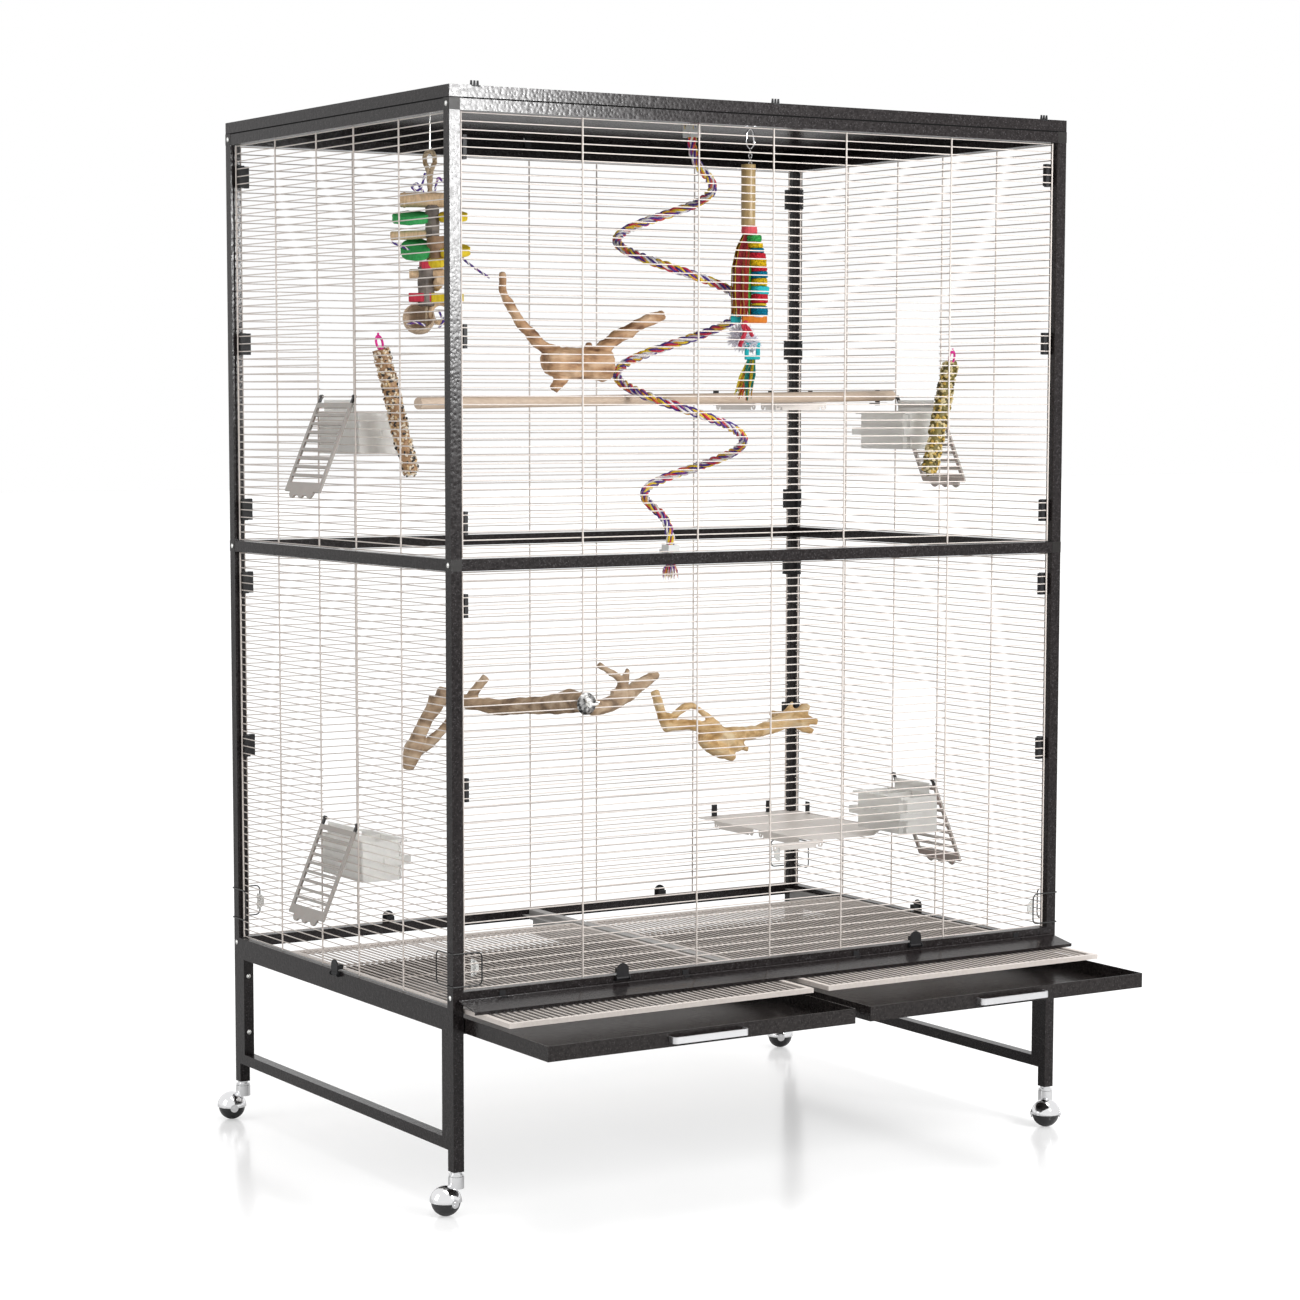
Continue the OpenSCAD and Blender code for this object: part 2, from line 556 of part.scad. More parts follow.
// Landing door: barred plate with a lobed foot, on two arms whose eyes turn on the lowest wire of
// its opening
landing_t = 4;
landing_rail = 9;
door_h = (door_rows[1] - door_rows[0]) * pitch;
landing_l = door_h - wire_d / 2 - 2.5;
eye_r = 3.4;
eye_w = 6;
eye_x = landing_w / 2 - 5;
arm_l = 13;
rungs = 9;
rung_w = 5;
lobe_r = 12;
slots_l = landing_l - arm_l - 9 - 2 * lobe_r;
module landing_plan() difference() {
    union() {
        translate([-landing_w / 2, arm_l]) square([landing_w, landing_l - arm_l - lobe_r]);
        for (x = [-1, 0, 1] * (landing_w / 2 - 34)) translate([x, landing_l - lobe_r]) circle(lobe_r);
        translate([34 - landing_w / 2, landing_l - lobe_r]) square([landing_w - 68, lobe_r - 5]);
    }
    for (i = [0:rungs - 1]) translate([-landing_w / 2 + landing_rail, arm_l + 9 + i * slots_l / rungs])
        square([landing_w - 2 * landing_rail, slots_l / rungs - rung_w]);
    for (s = [-1, 1]) translate([s * (landing_w / 4 - 17), landing_l]) circle(4);
}
module landing_door() rotate([90, 0, 90]) {
    translate([0, 0, -landing_t / 2]) linear_extrude(landing_t) landing_plan();
    for (s = [-1, 1]) translate([s * eye_x - eye_w / 2, 0, 0]) difference() {
        union() {
            rotate([0, 90, 0]) cylinder(r = eye_r, h = eye_w);
            translate([0, 0, -landing_t / 2]) cube([eye_w, arm_l + 1, landing_t]);
        }
        translate([-1, 0, 0]) rotate([0, 90, 0]) cylinder(r = wire_d / 2 + running, h = eye_w + 2);
    }
}
function sill(z_hi) = z_hi - panel_gap - wire_d / 2 - door_rows[1] * pitch;
module landing_at(z_hi) translate([-side_x + level_y, cage_d / 2, sill(z_hi)])
    rotate([0, -landing_open, 0]) landing_door();
module landing_door_left_upper() color("#b9b4ac") placed() landing_at(z_top);
module landing_door_left_lower() color("#b9b4ac") placed() landing_at(z_mid);
module landing_door_right_upper() color("#b9b4ac") placed() mirror([1, 0, 0]) landing_at(z_top);
module landing_door_right_lower() color("#b9b4ac") placed() mirror([1, 0, 0]) landing_at(z_mid);

// Feeders: two-cup tubs with a perching ledge, hung inside under each landing door by two hooks
// over the second wire below it
feeder_wall = 2;
feeder_drop = 29;
feeder_ledge = 10;
feeder_lip = 5;
plate_half = 56;
over_z = feeder[2] + feeder_drop - pitch + wire_d / 2 + seat;
module feeder_hook() rotate([90, 0, 0]) translate([0, 0, -4]) linear_extrude(8) polygon([
    [1, over_z], [-wire_d - 2 * seat, over_z], [-wire_d - 2 * seat, over_z - 4],
    [-wire_d - 2 * seat - 1.2, over_z - 4], [-wire_d - 2 * seat - 1.2, over_z + 1.5], [1, over_z + 1.5]]);
module feeder_at(z_hi) translate([-inside_x, cage_d / 2 - feeder[0] / 2,
    sill(z_hi) - feeder_drop - feeder[2]]) difference() {
    union() {
        linear_extrude(feeder[2]) polygon([[0, 0], [feeder[1] - 12, 0], [feeder[1], 12],
            [feeder[1], feeder[0] - 12], [feeder[1] - 12, feeder[0]], [0, feeder[0]]]);
        translate([0, 0, feeder[2] - 4]) cube([feeder[1] + feeder_lip, feeder[0], 4]);
        translate([feeder[1] / 2, -feeder_ledge / 2, 0.38 * feeder[2]])
            cube([feeder[1] / 2 + feeder_ledge, feeder[0] + feeder_ledge, 0.2 * feeder[2]]);
        translate([0, feeder[0] / 2 - plate_half, feeder[2] - 1])
            cube([feeder_wall, 2 * plate_half, feeder_drop - 5]);
        for (s = [-1, 1]) translate([0, feeder[0] / 2 + s * (plate_half - 6), 0]) feeder_hook();
    }
    for (s = [0, 1]) translate([feeder_wall, feeder_wall + s * (feeder[0] - feeder_wall) / 2, feeder_wall])
        cube([feeder[1] - 2 * feeder_wall - 4, feeder[0] / 2 - 1.5 * feeder_wall, feeder[2]]);
}
module feeders() color("#e8e4d6", 0.6) placed() both_sides() {
    feeder_at(z_top);
    feeder_at(z_mid);
}

// Corner shelves: cream sheet in the back right corner, with lobed wings folded down on its edges
wing_h = 15;
lobe = 6;
module wing(l) rotate([90, 0, 90]) linear_extrude(sheet) difference() {
    union() {
        translate([0, lobe - wing_h]) square([l, wing_h - lobe - sheet / 2]);
        for (x = [lobe, l - lobe]) translate([x, lobe - wing_h]) circle(lobe);
        translate([2 * lobe + 4, -wing_h]) square([l - 4 * lobe - 8, lobe + 1]);
    }
    for (x = [lobe, l - lobe]) translate([x, lobe - wing_h]) circle(2);
}
shelf_x = inside_x - shelf_size[0];
shelf_y = inside_back - shelf_size[1];
shelf_corner = 14;
hook_t = 3;
shelf_right = inside_x - hook_t - seat;
shelf_back = inside_back - hook_t - seat;
module shelf_plan() polygon([
    [shelf_x, shelf_y + 25], [shelf_x + 25, shelf_y], [shelf_right - 80, shelf_y],
    [shelf_right, shelf_y + 75],
    [shelf_right, shelf_back - shelf_corner], [shelf_right - shelf_corner, shelf_back - shelf_corner],
    [shelf_right - shelf_corner, shelf_back], [shelf_x, shelf_back]]);
shelf_tops = [z_base_top + shelf_zs[0], z_mid_top + shelf_zs[1]];
module corner_shelves() color("#efe6d8") placed() for (z = shelf_tops) translate([0, 0, z]) {
    translate([0, 0, -sheet]) linear_extrude(sheet) shelf_plan();
    for (y = [40, 200]) translate([shelf_x, shelf_y + y, 0]) wing(140);
    translate([shelf_x + 30, shelf_y + sheet, 0]) rotate(-90) mirror([0, 1, 0]) wing(120);
}

// Hooks that carry the shelves on the level wires of the back and right panels
module shelf_hook() {
    translate([-6, 0, -6]) cube([12, hook_t, 30]);
    translate([-6, -14, -sheet - hook_t]) cube([12, 14 + hook_t, hook_t]);
}
module shelf_hooks() color("#232120") placed() for (z = shelf_tops) translate([0, 0, z]) {
    for (x = [shelf_x + 40, inside_x - 60]) translate([x, inside_back - hook_t, 0]) shelf_hook();
    for (y = [shelf_y + 110, inside_back - 60])
        translate([inside_x - hook_t, y, 0]) rotate(-90) shelf_hook();
}

// Long dowel from the left panel to the top shelf and the right panel
dowel_y = [150, 500];
dowel_z = [z_mid_top + 257, shelf_tops[1] + dowel_d / 2 + 3.2];
dowel_end = inside_x - 8;
dowel_from = [-dowel_end, dowel_y[0], dowel_z[0]];
dowel_to = [dowel_end, dowel_y[1], dowel_z[1]];
module between(a, b) translate(a) rotate([0, acos((b - a)[2] / norm(b - a)), atan2((b - a)[1], (b - a)[0])])
    children();
module dowel_perch() color("#c9a77c") placed() between(dowel_from, dowel_to)
    cylinder(d = dowel_d, h = norm(dowel_to - dowel_from));

// Root that sits on the dowel
root_c = [-225, 250, z_mid_top + 315.7];
module root_perch() color("#a98561") placed() translate(root_c) {
    swept([[-125, 0, 30], [-93, 0, 42], [-45, 0, 26], [0, 0, 16], [45, 0, 22], [78, 0, 34]],
        [14, 24, 27, 27, 26, 15], 10);
    swept([[-85, 0, 40], [-125, 3, 52], [-144, 5, 67], [-166, 6, 95], [-178, 8, 119], [-182, 10, 171]],
        [18, 15, 12, 11, 10, 8], 8);
    swept([[50, 0, 25], [75, 0, 62], [106, 5, 124], [130, 8, 146], [163, 8, 161]], [20, 17, 15, 14, 11], 8);
    swept([[-70, 0, 30], [-103, -8, -2], [-124, -12, -41]], [18, 13, 11], 8);
}

// Branch bolted through the lower front panel, with its washer and nut outside
branch_l = [265 - cage_w / 2, z_base_top + 502];
washer_r = 18;
bolt_y = rod_y - rod_d / 2 - seat;
module branch_perch_left() color("#8f7256") placed() translate([branch_l[0], 0, branch_l[1]]) {
    swept([[0, inside_front, 0], [0, inside_front + 10, 0], [24, 55, -6], [22, 95, 8], [-24, 150, -4],
        [-108, 215, 13], [-160, 240, 26]], [15, 16, 17, 20, 20, 18, 12], 10);
    swept([[-140, 235, 22], [-178, 246, -4], [-196, 248, -60], [-196, 246, -94]], [14, 12, 11, 8], 8);
    swept([[-100, 210, 12], [-91, 220, 50]], [12, 6], 8);
    swept([[22, 55, -6], [70, 80, -16], [109, 100, -15], [155, 125, 7], [236, 150, 46]],
        [14, 16, 15, 14, 9], 8);
    swept([[109, 100, -12], [139, 118, 24], [127, 128, 52]], [11, 8, 5], 8);
    rotate([-90, 0, 0]) translate([0, 0, bolt_y - 8]) cylinder(r = 2.6, h = inside_front - bolt_y + 12);
    translate([0, bolt_y, 0]) rotate([90, 0, 0]) cylinder(r = washer_r, h = 2.5);
    translate([0, bolt_y - 2.5, 0]) rotate([90, 0, 0]) cylinder(r = 6, h = 6, $fn = 6);
}

// Pale branch bolted to the back panel
branch_r = [cage_w / 2 - 150, z_base_top + 0.521 * storey_h];
module branch_perch_right() color("#c9a468") placed() translate([branch_r[0], 0, branch_r[1]]) {
    swept([[86, inside_back, -20], [86, 822, -20], [70, 765, -3], [0, 730, -22], [-66, 700, -40],
        [-124, 670, -64], [-197, 650, -66]], [20, 24, 22, 20, 21, 20, 13], 10);
    swept([[-150, 660, -66], [-210, 648, -40], [-253, 640, 30], [-303, 635, 2], [-365, 630, 13],
        [-376, 630, 72]], [16, 14, 13, 14, 13, 9], 8);
    swept([[-96, 685, -50], [-150, 668, -10], [-215, 656, 12], [-250, 648, 48]], [10, 9, 8, 7], 8);
    swept([[60, 760, 0], [85, 712, 16], [104, 690, 8]], [16, 12, 8], 8);
}

// Spiral rope perch: one unbroken tube whose coil follows a helix, drawn in to the middle at both
// ends, where the rope hangs straight from the roof and out of the lower clamp
rope_c = [640 - cage_w / 2, 290];
roof_under = z_roof + roof_h - sheet;
rope_top = roof_under - 72.8;
rope_start = -73;
rope_turns = 2.75;
rope_steps = 24;
rope_ramp = 10;
rope_in = 26;
rope_tail = 34;
rope_end = 18;
rope_frayed = 44;
rope_n = rope_turns * rope_steps;
function eased(t) = t <= 0 ? 0 : t >= 1 ? 1 : t * t * (3 - 2 * t);
function rope_spread(i) = rope_in + (rope_r - rope_in) * eased(min(i, rope_n - i) / rope_ramp);
function rope_coil(i) = let (a = rope_start + 360 * i / rope_steps)
    [rope_c[0] + rope_spread(i) * cos(a), rope_c[1] + rope_spread(i) * sin(a),
     rope_top - rope_pitch * i / rope_steps];
function rope_bend(a, b, c) = [for (t = [0.25, 0.5, 0.75])
    (1 - t) * (1 - t) * a + 2 * t * (1 - t) * b + t * t * c];
rope_hang = rope_coil(0) + [0, 0, rope_tail];
rope_drop = rope_coil(rope_n) - [0, 0, rope_tail];
rope_route = concat([rope_hang + [0, 0, rope_end], rope_hang],
    rope_bend(rope_hang, rope_coil(0), rope_coil(2)),
    [for (i = [2:rope_n - 2]) rope_coil(i)], rope_bend(rope_coil(rope_n - 2), rope_coil(rope_n), rope_drop),
    [rope_drop, rope_drop - [0, 0, rope_frayed]]);
rope_last = len(rope_route) - 1;
rope_gap = min([for (i = [0:rope_last]) for (j = [i + 8:1:rope_last])
    norm(rope_route[i] - rope_route[j])]) - rope_d;
rope_steps_l = [for (i = [0:rope_last - 1]) norm(rope_route[i + 1] - rope_route[i])];
rope_length = rope_steps_l * [for (i = [1:rope_last]) 1];
echo(rope_gap = rope_gap, rope_length = rope_length);
module rope_perch() color("#7a4fa0") placed() swept(rope_route, [for (p = rope_route) rope_d / 2], 6);
// Moulded clamps on the rope's ends: the upper one is screwed to the roof, the lower has a wing nut
clamp_w = 24;
clamp_h = 30;
module clamp(p, up) translate(p) difference() {
    union() {
        translate([-clamp_w / 2, -clamp_w / 2, up ? 0 : -clamp_h]) cube([clamp_w, clamp_w, clamp_h]);
        if (up) translate([0, 0, clamp_h - 1]) cylinder(r = 6, h = roof_under - p[2] - clamp_h + 1);
        if (!up) translate([0, clamp_w / 2 - 1, -12]) rotate([-90, 0, 0]) cylinder(r = 4, h = 10);
        if (!up) translate([-12, clamp_w / 2 + 5, -15]) cube([24, 3, 6]);
    }
    translate([0, 0, -40]) cylinder(r = rope_d / 2 + seat, h = 40 + (up ? rope_end : 40));
}
module rope_fittings() color("white") placed() {
    clamp(rope_hang, true);
    clamp(rope_drop, false);
}

// Seed sticks clipped inside the two side panels, leaning into the cage
stick_d = 34;
stick_y = (cage_d - feeder[0]) / 2 - 50;
stick_z = z_top - 376;
stick_foot = z_top - 599;
module seed_sticks() color("#8d6b33") placed() both_sides() {
    a = [-inside_x + 17, stick_y, stick_z];
    b = [-inside_x + 84, stick_y - 6, stick_foot];
    between(a, b) union() {
        cylinder(d = stick_d, h = norm(b - a) - 8, $fn = 24);
        translate([0, 0, norm(b - a) - 8]) cylinder(d1 = stick_d, d2 = 16, h = 8);
        translate([0, 0, -30]) cylinder(d = 6, h = 31);
    }
    translate([-inside_x, stick_y - 5, stick_z + 22]) cube([8, 10, 18]);
}

// Hooks under the roof: a plate with two cheeks, and a level pin that runs through a toy's eye
pin_drop = 12;
pin_r = 1.5;
pin_z = roof_under - pin_drop;
// Height of the pin in the toys' own measure
toy_hang = 1796.8;
toy_z = -toy_hang;
toy_turn = -31;
module toy_hook() {
    translate([-6, -6, pin_drop - 1.5]) cube([12, 12, 1.5 - seat]);
    for (s = [-1, 1]) translate([s * 3.75 - 0.75, -3.5, -3]) cube([1.5, 7, pin_drop + 2]);
    translate([-4.5, 0, 0]) rotate([0, 90, 0]) cylinder(r = pin_r, h = 9);
}
module toy_eye() difference() {
    rotate([0, 90, 0]) cylinder(r = 4, h = 4, center = true);
    rotate([0, 90, 0]) cylinder(r = pin_r + running, h = 6, center = true);
}
module toy_wire(z) translate([0, 0, z]) cylinder(d = 3, h = -toy_z - z - 2.6);
module slice(x, z, d, t, tilt) translate([x, 0, z]) rotate([tilt, 0, 0])
    cylinder(d = d, h = t, center = true);
module rod(x, z, d, l) translate([x, 0, z]) rotate([0, 90, 0]) cylinder(d = d, h = l);
module block(x, z, size) translate([x, -size[1] / 2, z]) cube(size);
module toy_hooks() color("silver") placed() {
    translate([block_c[0], block_c[1], pin_z]) toy_hook();
    translate([bamboo_c[0], bamboo_c[1], pin_z]) rotate(90) toy_hook();
}

// Block toy: rope loop and crossbar, then slices, rods and blocks round a bark core, and a half nut
// shell with a ring at the foot
block_c = [95.7 - cage_w / 2, 242.6];
shell_r = 29;
module block_toy() color("#c98b3a") placed() translate([block_c[0], block_c[1], pin_z]) {
    toy_eye();
    rotate(toy_turn) translate([0, 0, toy_z]) {
        toy_wire(1719);
        for (m = [0, 1]) mirror([m, 0, 0])
            swept([[0, 0, 1645], [2, 0, 1688], [8, 0, 1703], [7, 0, 1715], [0, 0, 1721]], [4, 4, 4, 4, 4], 6);
        rod(-51, 1638.5, 25, 102);
        translate([4, 0, 1575]) cylinder(d = 24, h = 54);
        translate([9, 0, 1521]) cylinder(d = 30, h = 56);
        translate([-7, 0, 1458]) cylinder(d = 29, h = 66);
        slice(-33, 1608, 64, 14, 13);
        slice(-24, 1554, 54, 15, 33);
        slice(39, 1610, 50, 12, 14);
        slice(42, 1552, 54, 13, 17);
        rod(-68, 1581, 15, 72);
        rod(-36, 1513, 16, 62);
        block(-17, 1521, [26, 30, 13]);
        block(-37, 1465, [39, 26, 15]);
        block(2, 1464, [55, 26, 16]);
        swept([[44, 0, 1550], [60, -2, 1535], [80, -4, 1520], [102, -6, 1506]], [3, 3, 3, 2], 6);
        translate([-7, 0, 1412]) cylinder(d = 6, h = 50);
        translate([-20, -4, 1437]) rotate([60, 0, 0]) difference() {
            sphere(shell_r);
            sphere(shell_r - 2.6);
            translate([-40, -40, 6]) cube([80, 80, 40]);
        }
        translate([17, 0, 1446]) rotate([90, 0, 0]) difference() {
            cylinder(d = 40, h = 10, center = true);
            cylinder(d = 27, h = 12, center = true);
        }
    }
}

// Bamboo toy: snap hook and chain, bamboo with a collar, a column of slices beside a bundle of
// leaves, an orange plate, fluff, a block and a tail of strips
bamboo_c = [678.3 - cage_w / 2, 123];
slice_n = 11;
slice_h = 13.5;
link_r = 0.9;
module wire_ring(z, half_w, half_h, r) swept([for (a = [0:30:330])
    [half_w * cos(a), 0, z + half_h * sin(a)]], [for (a = [0:30:330]) r], 6, true);
module bamboo_toy() color("#c2a13a") placed() translate([bamboo_c[0], bamboo_c[1], pin_z]) {
    rotate(90) toy_eye();
    rotate(toy_turn) translate([0, 0, toy_z]) {
        toy_wire(1775);
        wire_ring(1759, 7, 17, 1.3);
        for (i = [0:2]) rotate(90 * (i + 1)) wire_ring(1737.5 - 9 * i, 3, 5.2, link_r);
        translate([-3, 0, 1605]) cylinder(d = 26, h = 110);
        translate([-1, 0, 1591]) cylinder(d = 28, h = 15);
        between([-3, 0, 1597], [-14, 0, 1545]) cylinder(d1 = 22, d2 = 36, h = 53);
        translate([-14, 0, 1441]) cylinder(d = 36, h = 106);
        for (i = [0:slice_n - 1]) translate([min(8 + 3 * i, 17), -3, 1589 - (i + 1) * slice_h])
            cylinder(d = i % 2 == 0 ? 31 : 28, h = slice_h);
        block(-13, 1434, [44, 26, 13]);
        translate([-16, 0, 1406]) sphere(29);
        translate([6, 0, 1396]) sphere(20);
        translate([-8, -10, 1369]) difference() {
            cube([27, 20, 31]);
            translate([4, -1, 4]) cube([19, 22, 12]);
        }
        for (k = [0:4]) translate([3 + k, 3 * k - 6, 1372]) rotate([0, 24 - 6 * k, 0])
            translate([-5, -0.8, -76]) cube([10, 1.6, 78]);
    }
}

// Caster: a plug and stem fixed in the leg, a chromed hood that swivels, and a ball on an axle
stem_r = 5;
collar_r = 12.5;
collar_h = 8;
axle_r = 3;
ball_r = ball_d / 2;
house_r = 13.5;
house_z = ball_d + 2.5;
module caster_stem(i) translate([stem_x(i), stem_y(i), 0]) {
    translate([0, 0, house_z + 1.6]) cylinder(r = stem_r, h = caster_h - house_z - 1);
    translate([0, 0, caster_h - collar_h]) cylinder(r = collar_r, h = collar_h / 2);
    translate([0, 0, caster_h - collar_h / 2]) cylinder(r = collar_r - 3, h = collar_h / 2);
    translate([-spigot / 2, -spigot / 2, caster_h - 0.01]) cube([spigot, spigot, 30]);
}
module caster_stems() color("silver") placed() for (i = [0:3]) caster_stem(i);
module at_ball(i) translate([ball_x(i), ball_y(i), ball_r]) rotate(caster_turn[i]) children();
module yoke(i) at_ball(i) {
    difference() {
        union() {
            intersection() {
                sphere(r = hood_r, $fn = 48);
                translate([0, 0, hood_r]) cube([4 * hood_r, 4 * hood_r, 2 * hood_r], center = true);
            }
            for (s = [-1, 1]) translate([0, s * (hood_r - 1.2), 0]) rotate([90, 0, 0])
                cylinder(r = 7.5, h = 2.4, center = true);
            translate([-caster_trail, 0, house_z - ball_r - 8]) cylinder(r = house_r, h = 8 + collar_top());
        }
        sphere(r = hood_r - 1.2, $fn = 48);
        translate([-caster_trail, 0, house_z - ball_r]) cylinder(r = stem_r + running, h = 40);
        rotate([90, 0, 0]) cylinder(r = axle_r, h = 4 * hood_r, center = true);
    }
    rotate([90, 0, 0]) cylinder(r = axle_r, h = 2 * hood_r + 3, center = true);
}
function collar_top() = caster_h - collar_h - house_z - seat;
module ball(i) at_ball(i) difference() {
    sphere(r = ball_r, $fn = 48);
    rotate([90, 0, 0]) cylinder(r = axle_r + running, h = 2 * ball_d, center = true);
}
module caster_yoke_fl() color("silver") placed() yoke(0);
module caster_yoke_fr() color("silver") placed() yoke(1);
module caster_yoke_bl() color("silver") placed() yoke(2);
module caster_yoke_br() color("silver") placed() yoke(3);
module caster_ball_fl() color("#161616") placed() ball(0);
module caster_ball_fr() color("#161616") placed() ball(1);
module caster_ball_bl() color("#161616") placed() ball(2);
module caster_ball_br() color("#161616") placed() ball(3);

lower_posts();
upper_posts();
mid_connectors();
top_connectors();
storey_rails();
base_rails();
stand_frames();
frame_screws();
roof();
roof_clips();
panel_clips();
front_upper_panel();
front_lower_panel();
side_upper_panels();
side_lower_panels();
back_upper_panel();
back_lower_panel();
runners();
tray_left();
tray_right();
handle_left();
handle_right();
floor_grid_left();
floor_grid_right();
flap();
rail_brackets();
latch_front_left();
latch_front_right();
latch_left();
latch_right();
latch_back_left();
latch_back_right();
lock_rings();
ring_plates();
landing_door_left_upper();
landing_door_left_lower();
landing_door_right_upper();
landing_door_right_lower();
feeders();
corner_shelves();
shelf_hooks();
dowel_perch();
root_perch();
branch_perch_left();
branch_perch_right();
rope_perch();
rope_fittings();
seed_sticks();
toy_hooks();
block_toy();
bamboo_toy();
caster_stems();
caster_yoke_fl();
caster_yoke_fr();
caster_yoke_bl();
caster_yoke_br();
caster_ball_fl();
caster_ball_fr();
caster_ball_bl();
caster_ball_br();
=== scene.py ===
import math
import random

import bmesh
import bpy
from mathutils import Matrix, Vector, noise


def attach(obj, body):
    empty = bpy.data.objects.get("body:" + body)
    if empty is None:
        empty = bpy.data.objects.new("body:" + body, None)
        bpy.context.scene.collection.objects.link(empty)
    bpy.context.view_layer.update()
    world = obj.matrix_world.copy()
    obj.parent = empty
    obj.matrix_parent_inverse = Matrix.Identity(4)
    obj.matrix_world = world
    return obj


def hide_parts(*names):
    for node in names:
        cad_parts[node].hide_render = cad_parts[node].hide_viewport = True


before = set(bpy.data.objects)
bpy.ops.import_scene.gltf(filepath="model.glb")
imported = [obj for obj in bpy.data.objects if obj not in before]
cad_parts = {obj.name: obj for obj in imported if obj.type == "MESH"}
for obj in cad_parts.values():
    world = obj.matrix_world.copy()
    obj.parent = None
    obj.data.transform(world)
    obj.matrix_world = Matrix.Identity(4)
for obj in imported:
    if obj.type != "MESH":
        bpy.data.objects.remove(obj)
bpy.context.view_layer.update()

# --- Camera ---
# A long lens a little above half height, off to the left of the cage, level but for a slight tilt
# down. The shift puts the cage where it stands in the picture.
tilt_down, turn_right = 5.599, 31.481
lens = bpy.data.cameras.new("long_lens")
lens.sensor_width = 36.0
lens.lens = 87.05
lens.shift_x = 0.0462
lens.shift_y = 0.0468
lens.clip_end = 100.0
camera = bpy.data.objects.new("long_lens", lens)
camera.location = (-3.168, -4.8501, 1.3654)
camera.rotation_euler = (math.radians(90 - tilt_down), 0.0, math.radians(-turn_right))
bpy.context.scene.collection.objects.link(camera)
bpy.context.scene.camera = camera
bpy.context.scene.view_settings.view_transform = "Standard"


# --- Spiral rope perch ---
# Three cotton strands of four yarns each, in purple, yellow, red and white, laid round a bendable
# core and wound into an open spiral. It hangs from a clamp under the roof and is frayed at both
# ends.
class Signal:
    """One socket of a finish, so that its sums read as plain sums."""

    def __init__(self, finish, socket):
        self.finish, self.socket = finish, socket

    def _sum(self, operation, left, right):
        return self.finish.add("ShaderNodeMath", {"operation": operation}, {0: left, 1: right})

    def __add__(self, other):
        return self._sum("ADD", self, other)

    def __radd__(self, other):
        return self._sum("ADD", other, self)

    def __sub__(self, other):
        return self._sum("SUBTRACT", self, other)

    def __rsub__(self, other):
        return self._sum("SUBTRACT", other, self)

    def __mul__(self, other):
        return self._sum("MULTIPLY", self, other)

    def __rmul__(self, other):
        return self._sum("MULTIPLY", other, self)

    def __lt__(self, other):
        return self._sum("LESS_THAN", self, other)

    def __gt__(self, other):
        return self._sum("GREATER_THAN", self, other)

    def __abs__(self):
        return self.finish.add("ShaderNodeMath", {"operation": "ABSOLUTE"}, {0: self})


class Finish:
    """A material with one surface shader, whose colour, gloss and relief are set by name."""

    def __init__(self, name, colour, roughness, **constants):
        self.material = bpy.data.materials.new(name)
        self.material.use_nodes = True
        self.tree = self.material.node_tree
        self.surface = self.tree.nodes["Principled BSDF"]
        self.put({"Base Color": colour, "Roughness": roughness, **constants})

    def link(self, value, socket):
        """Feeds a signal to a socket, or sets its value."""
        if isinstance(value, Signal):
            self.tree.links.new(value.socket, socket)
        elif isinstance(value, tuple) and len(value) == 3 and socket.type == "RGBA":
            socket.default_value = (*value, 1.0)
        else:
            socket.default_value = value

    def put(self, values):
        for name, value in values.items():
            self.link(value, self.surface.inputs[name])

    def add(self, kind, settings, inputs, output=0):
        """Adds a shader node and returns one of its outputs."""
        node = self.tree.nodes.new(kind)
        for name, value in settings.items():
            if name == "stops":
                ramp = node.color_ramp.elements
                while len(ramp) < len(value):
                    ramp.new(0.5)
                for stop, (place, colour) in zip(ramp, value):
                    stop.position, stop.color = place, (*colour, 1.0)
            else:
                setattr(node, name, value)
        for name, value in inputs.items():
            self.link(value, node.inputs[name])
        return Signal(self, node.outputs[output])

    def place(self):
        return self.add("ShaderNodeTexCoord", {}, {}, "Object")

    def along(self, axis):
        """The place along x, y or z, in metres from the frame's origin."""
        return self.add("ShaderNodeSeparateXYZ", {}, {0: self.place()}, axis)

    def grain(self, scale, detail=2.0, stretch=(1, 1, 1)):
        """Soft noise, drawn out along an axis whose stretch is small."""
        spot = self.add("ShaderNodeMapping", {}, {"Vector": self.place(), "Scale": stretch})
        return self.add("ShaderNodeTexNoise", {},
                        {"Vector": spot, "Scale": scale, "Detail": detail})

    def shade(self, low, high, share):
        """A mix of two colours."""
        return self.add("ShaderNodeMix", {"data_type": "RGBA"}, {0: share, 6: low, 7: high}, 2)

    def relief(self, height, depth, strength=1.0):
        bump = self.add("ShaderNodeBump", {},
                        {"Height": height, "Distance": depth, "Strength": strength})
        self.put({"Normal": bump})


# The spiral goes down a pitch in each turn of 24 steps, and is drawn in at both ends.
coil_steps, turn_steps, step_degrees, first_degrees = 66, 24, 15, -73
coil_x, coil_y, coil_top, coil_pitch = -0.01, -0.0087, 1.809, 0.243
end_radius, coil_growth, easing_steps = 0.026, 0.09, 10
straight_end = Vector((0, 0, 0.034))


def rope_coil(step):
    """A point on the middle of the spiral."""
    edge = max(0.0, min(step, coil_steps - step) / easing_steps)
    eased = 1.0 if edge >= 1 else edge * edge * (3 - 2 * edge)
    spread = end_radius + coil_growth * eased
    angle = math.radians(first_degrees + step_degrees * step)
    return Vector((coil_x + spread * math.cos(angle), coil_y + spread * math.sin(angle),
                   coil_top - coil_pitch * step / turn_steps))


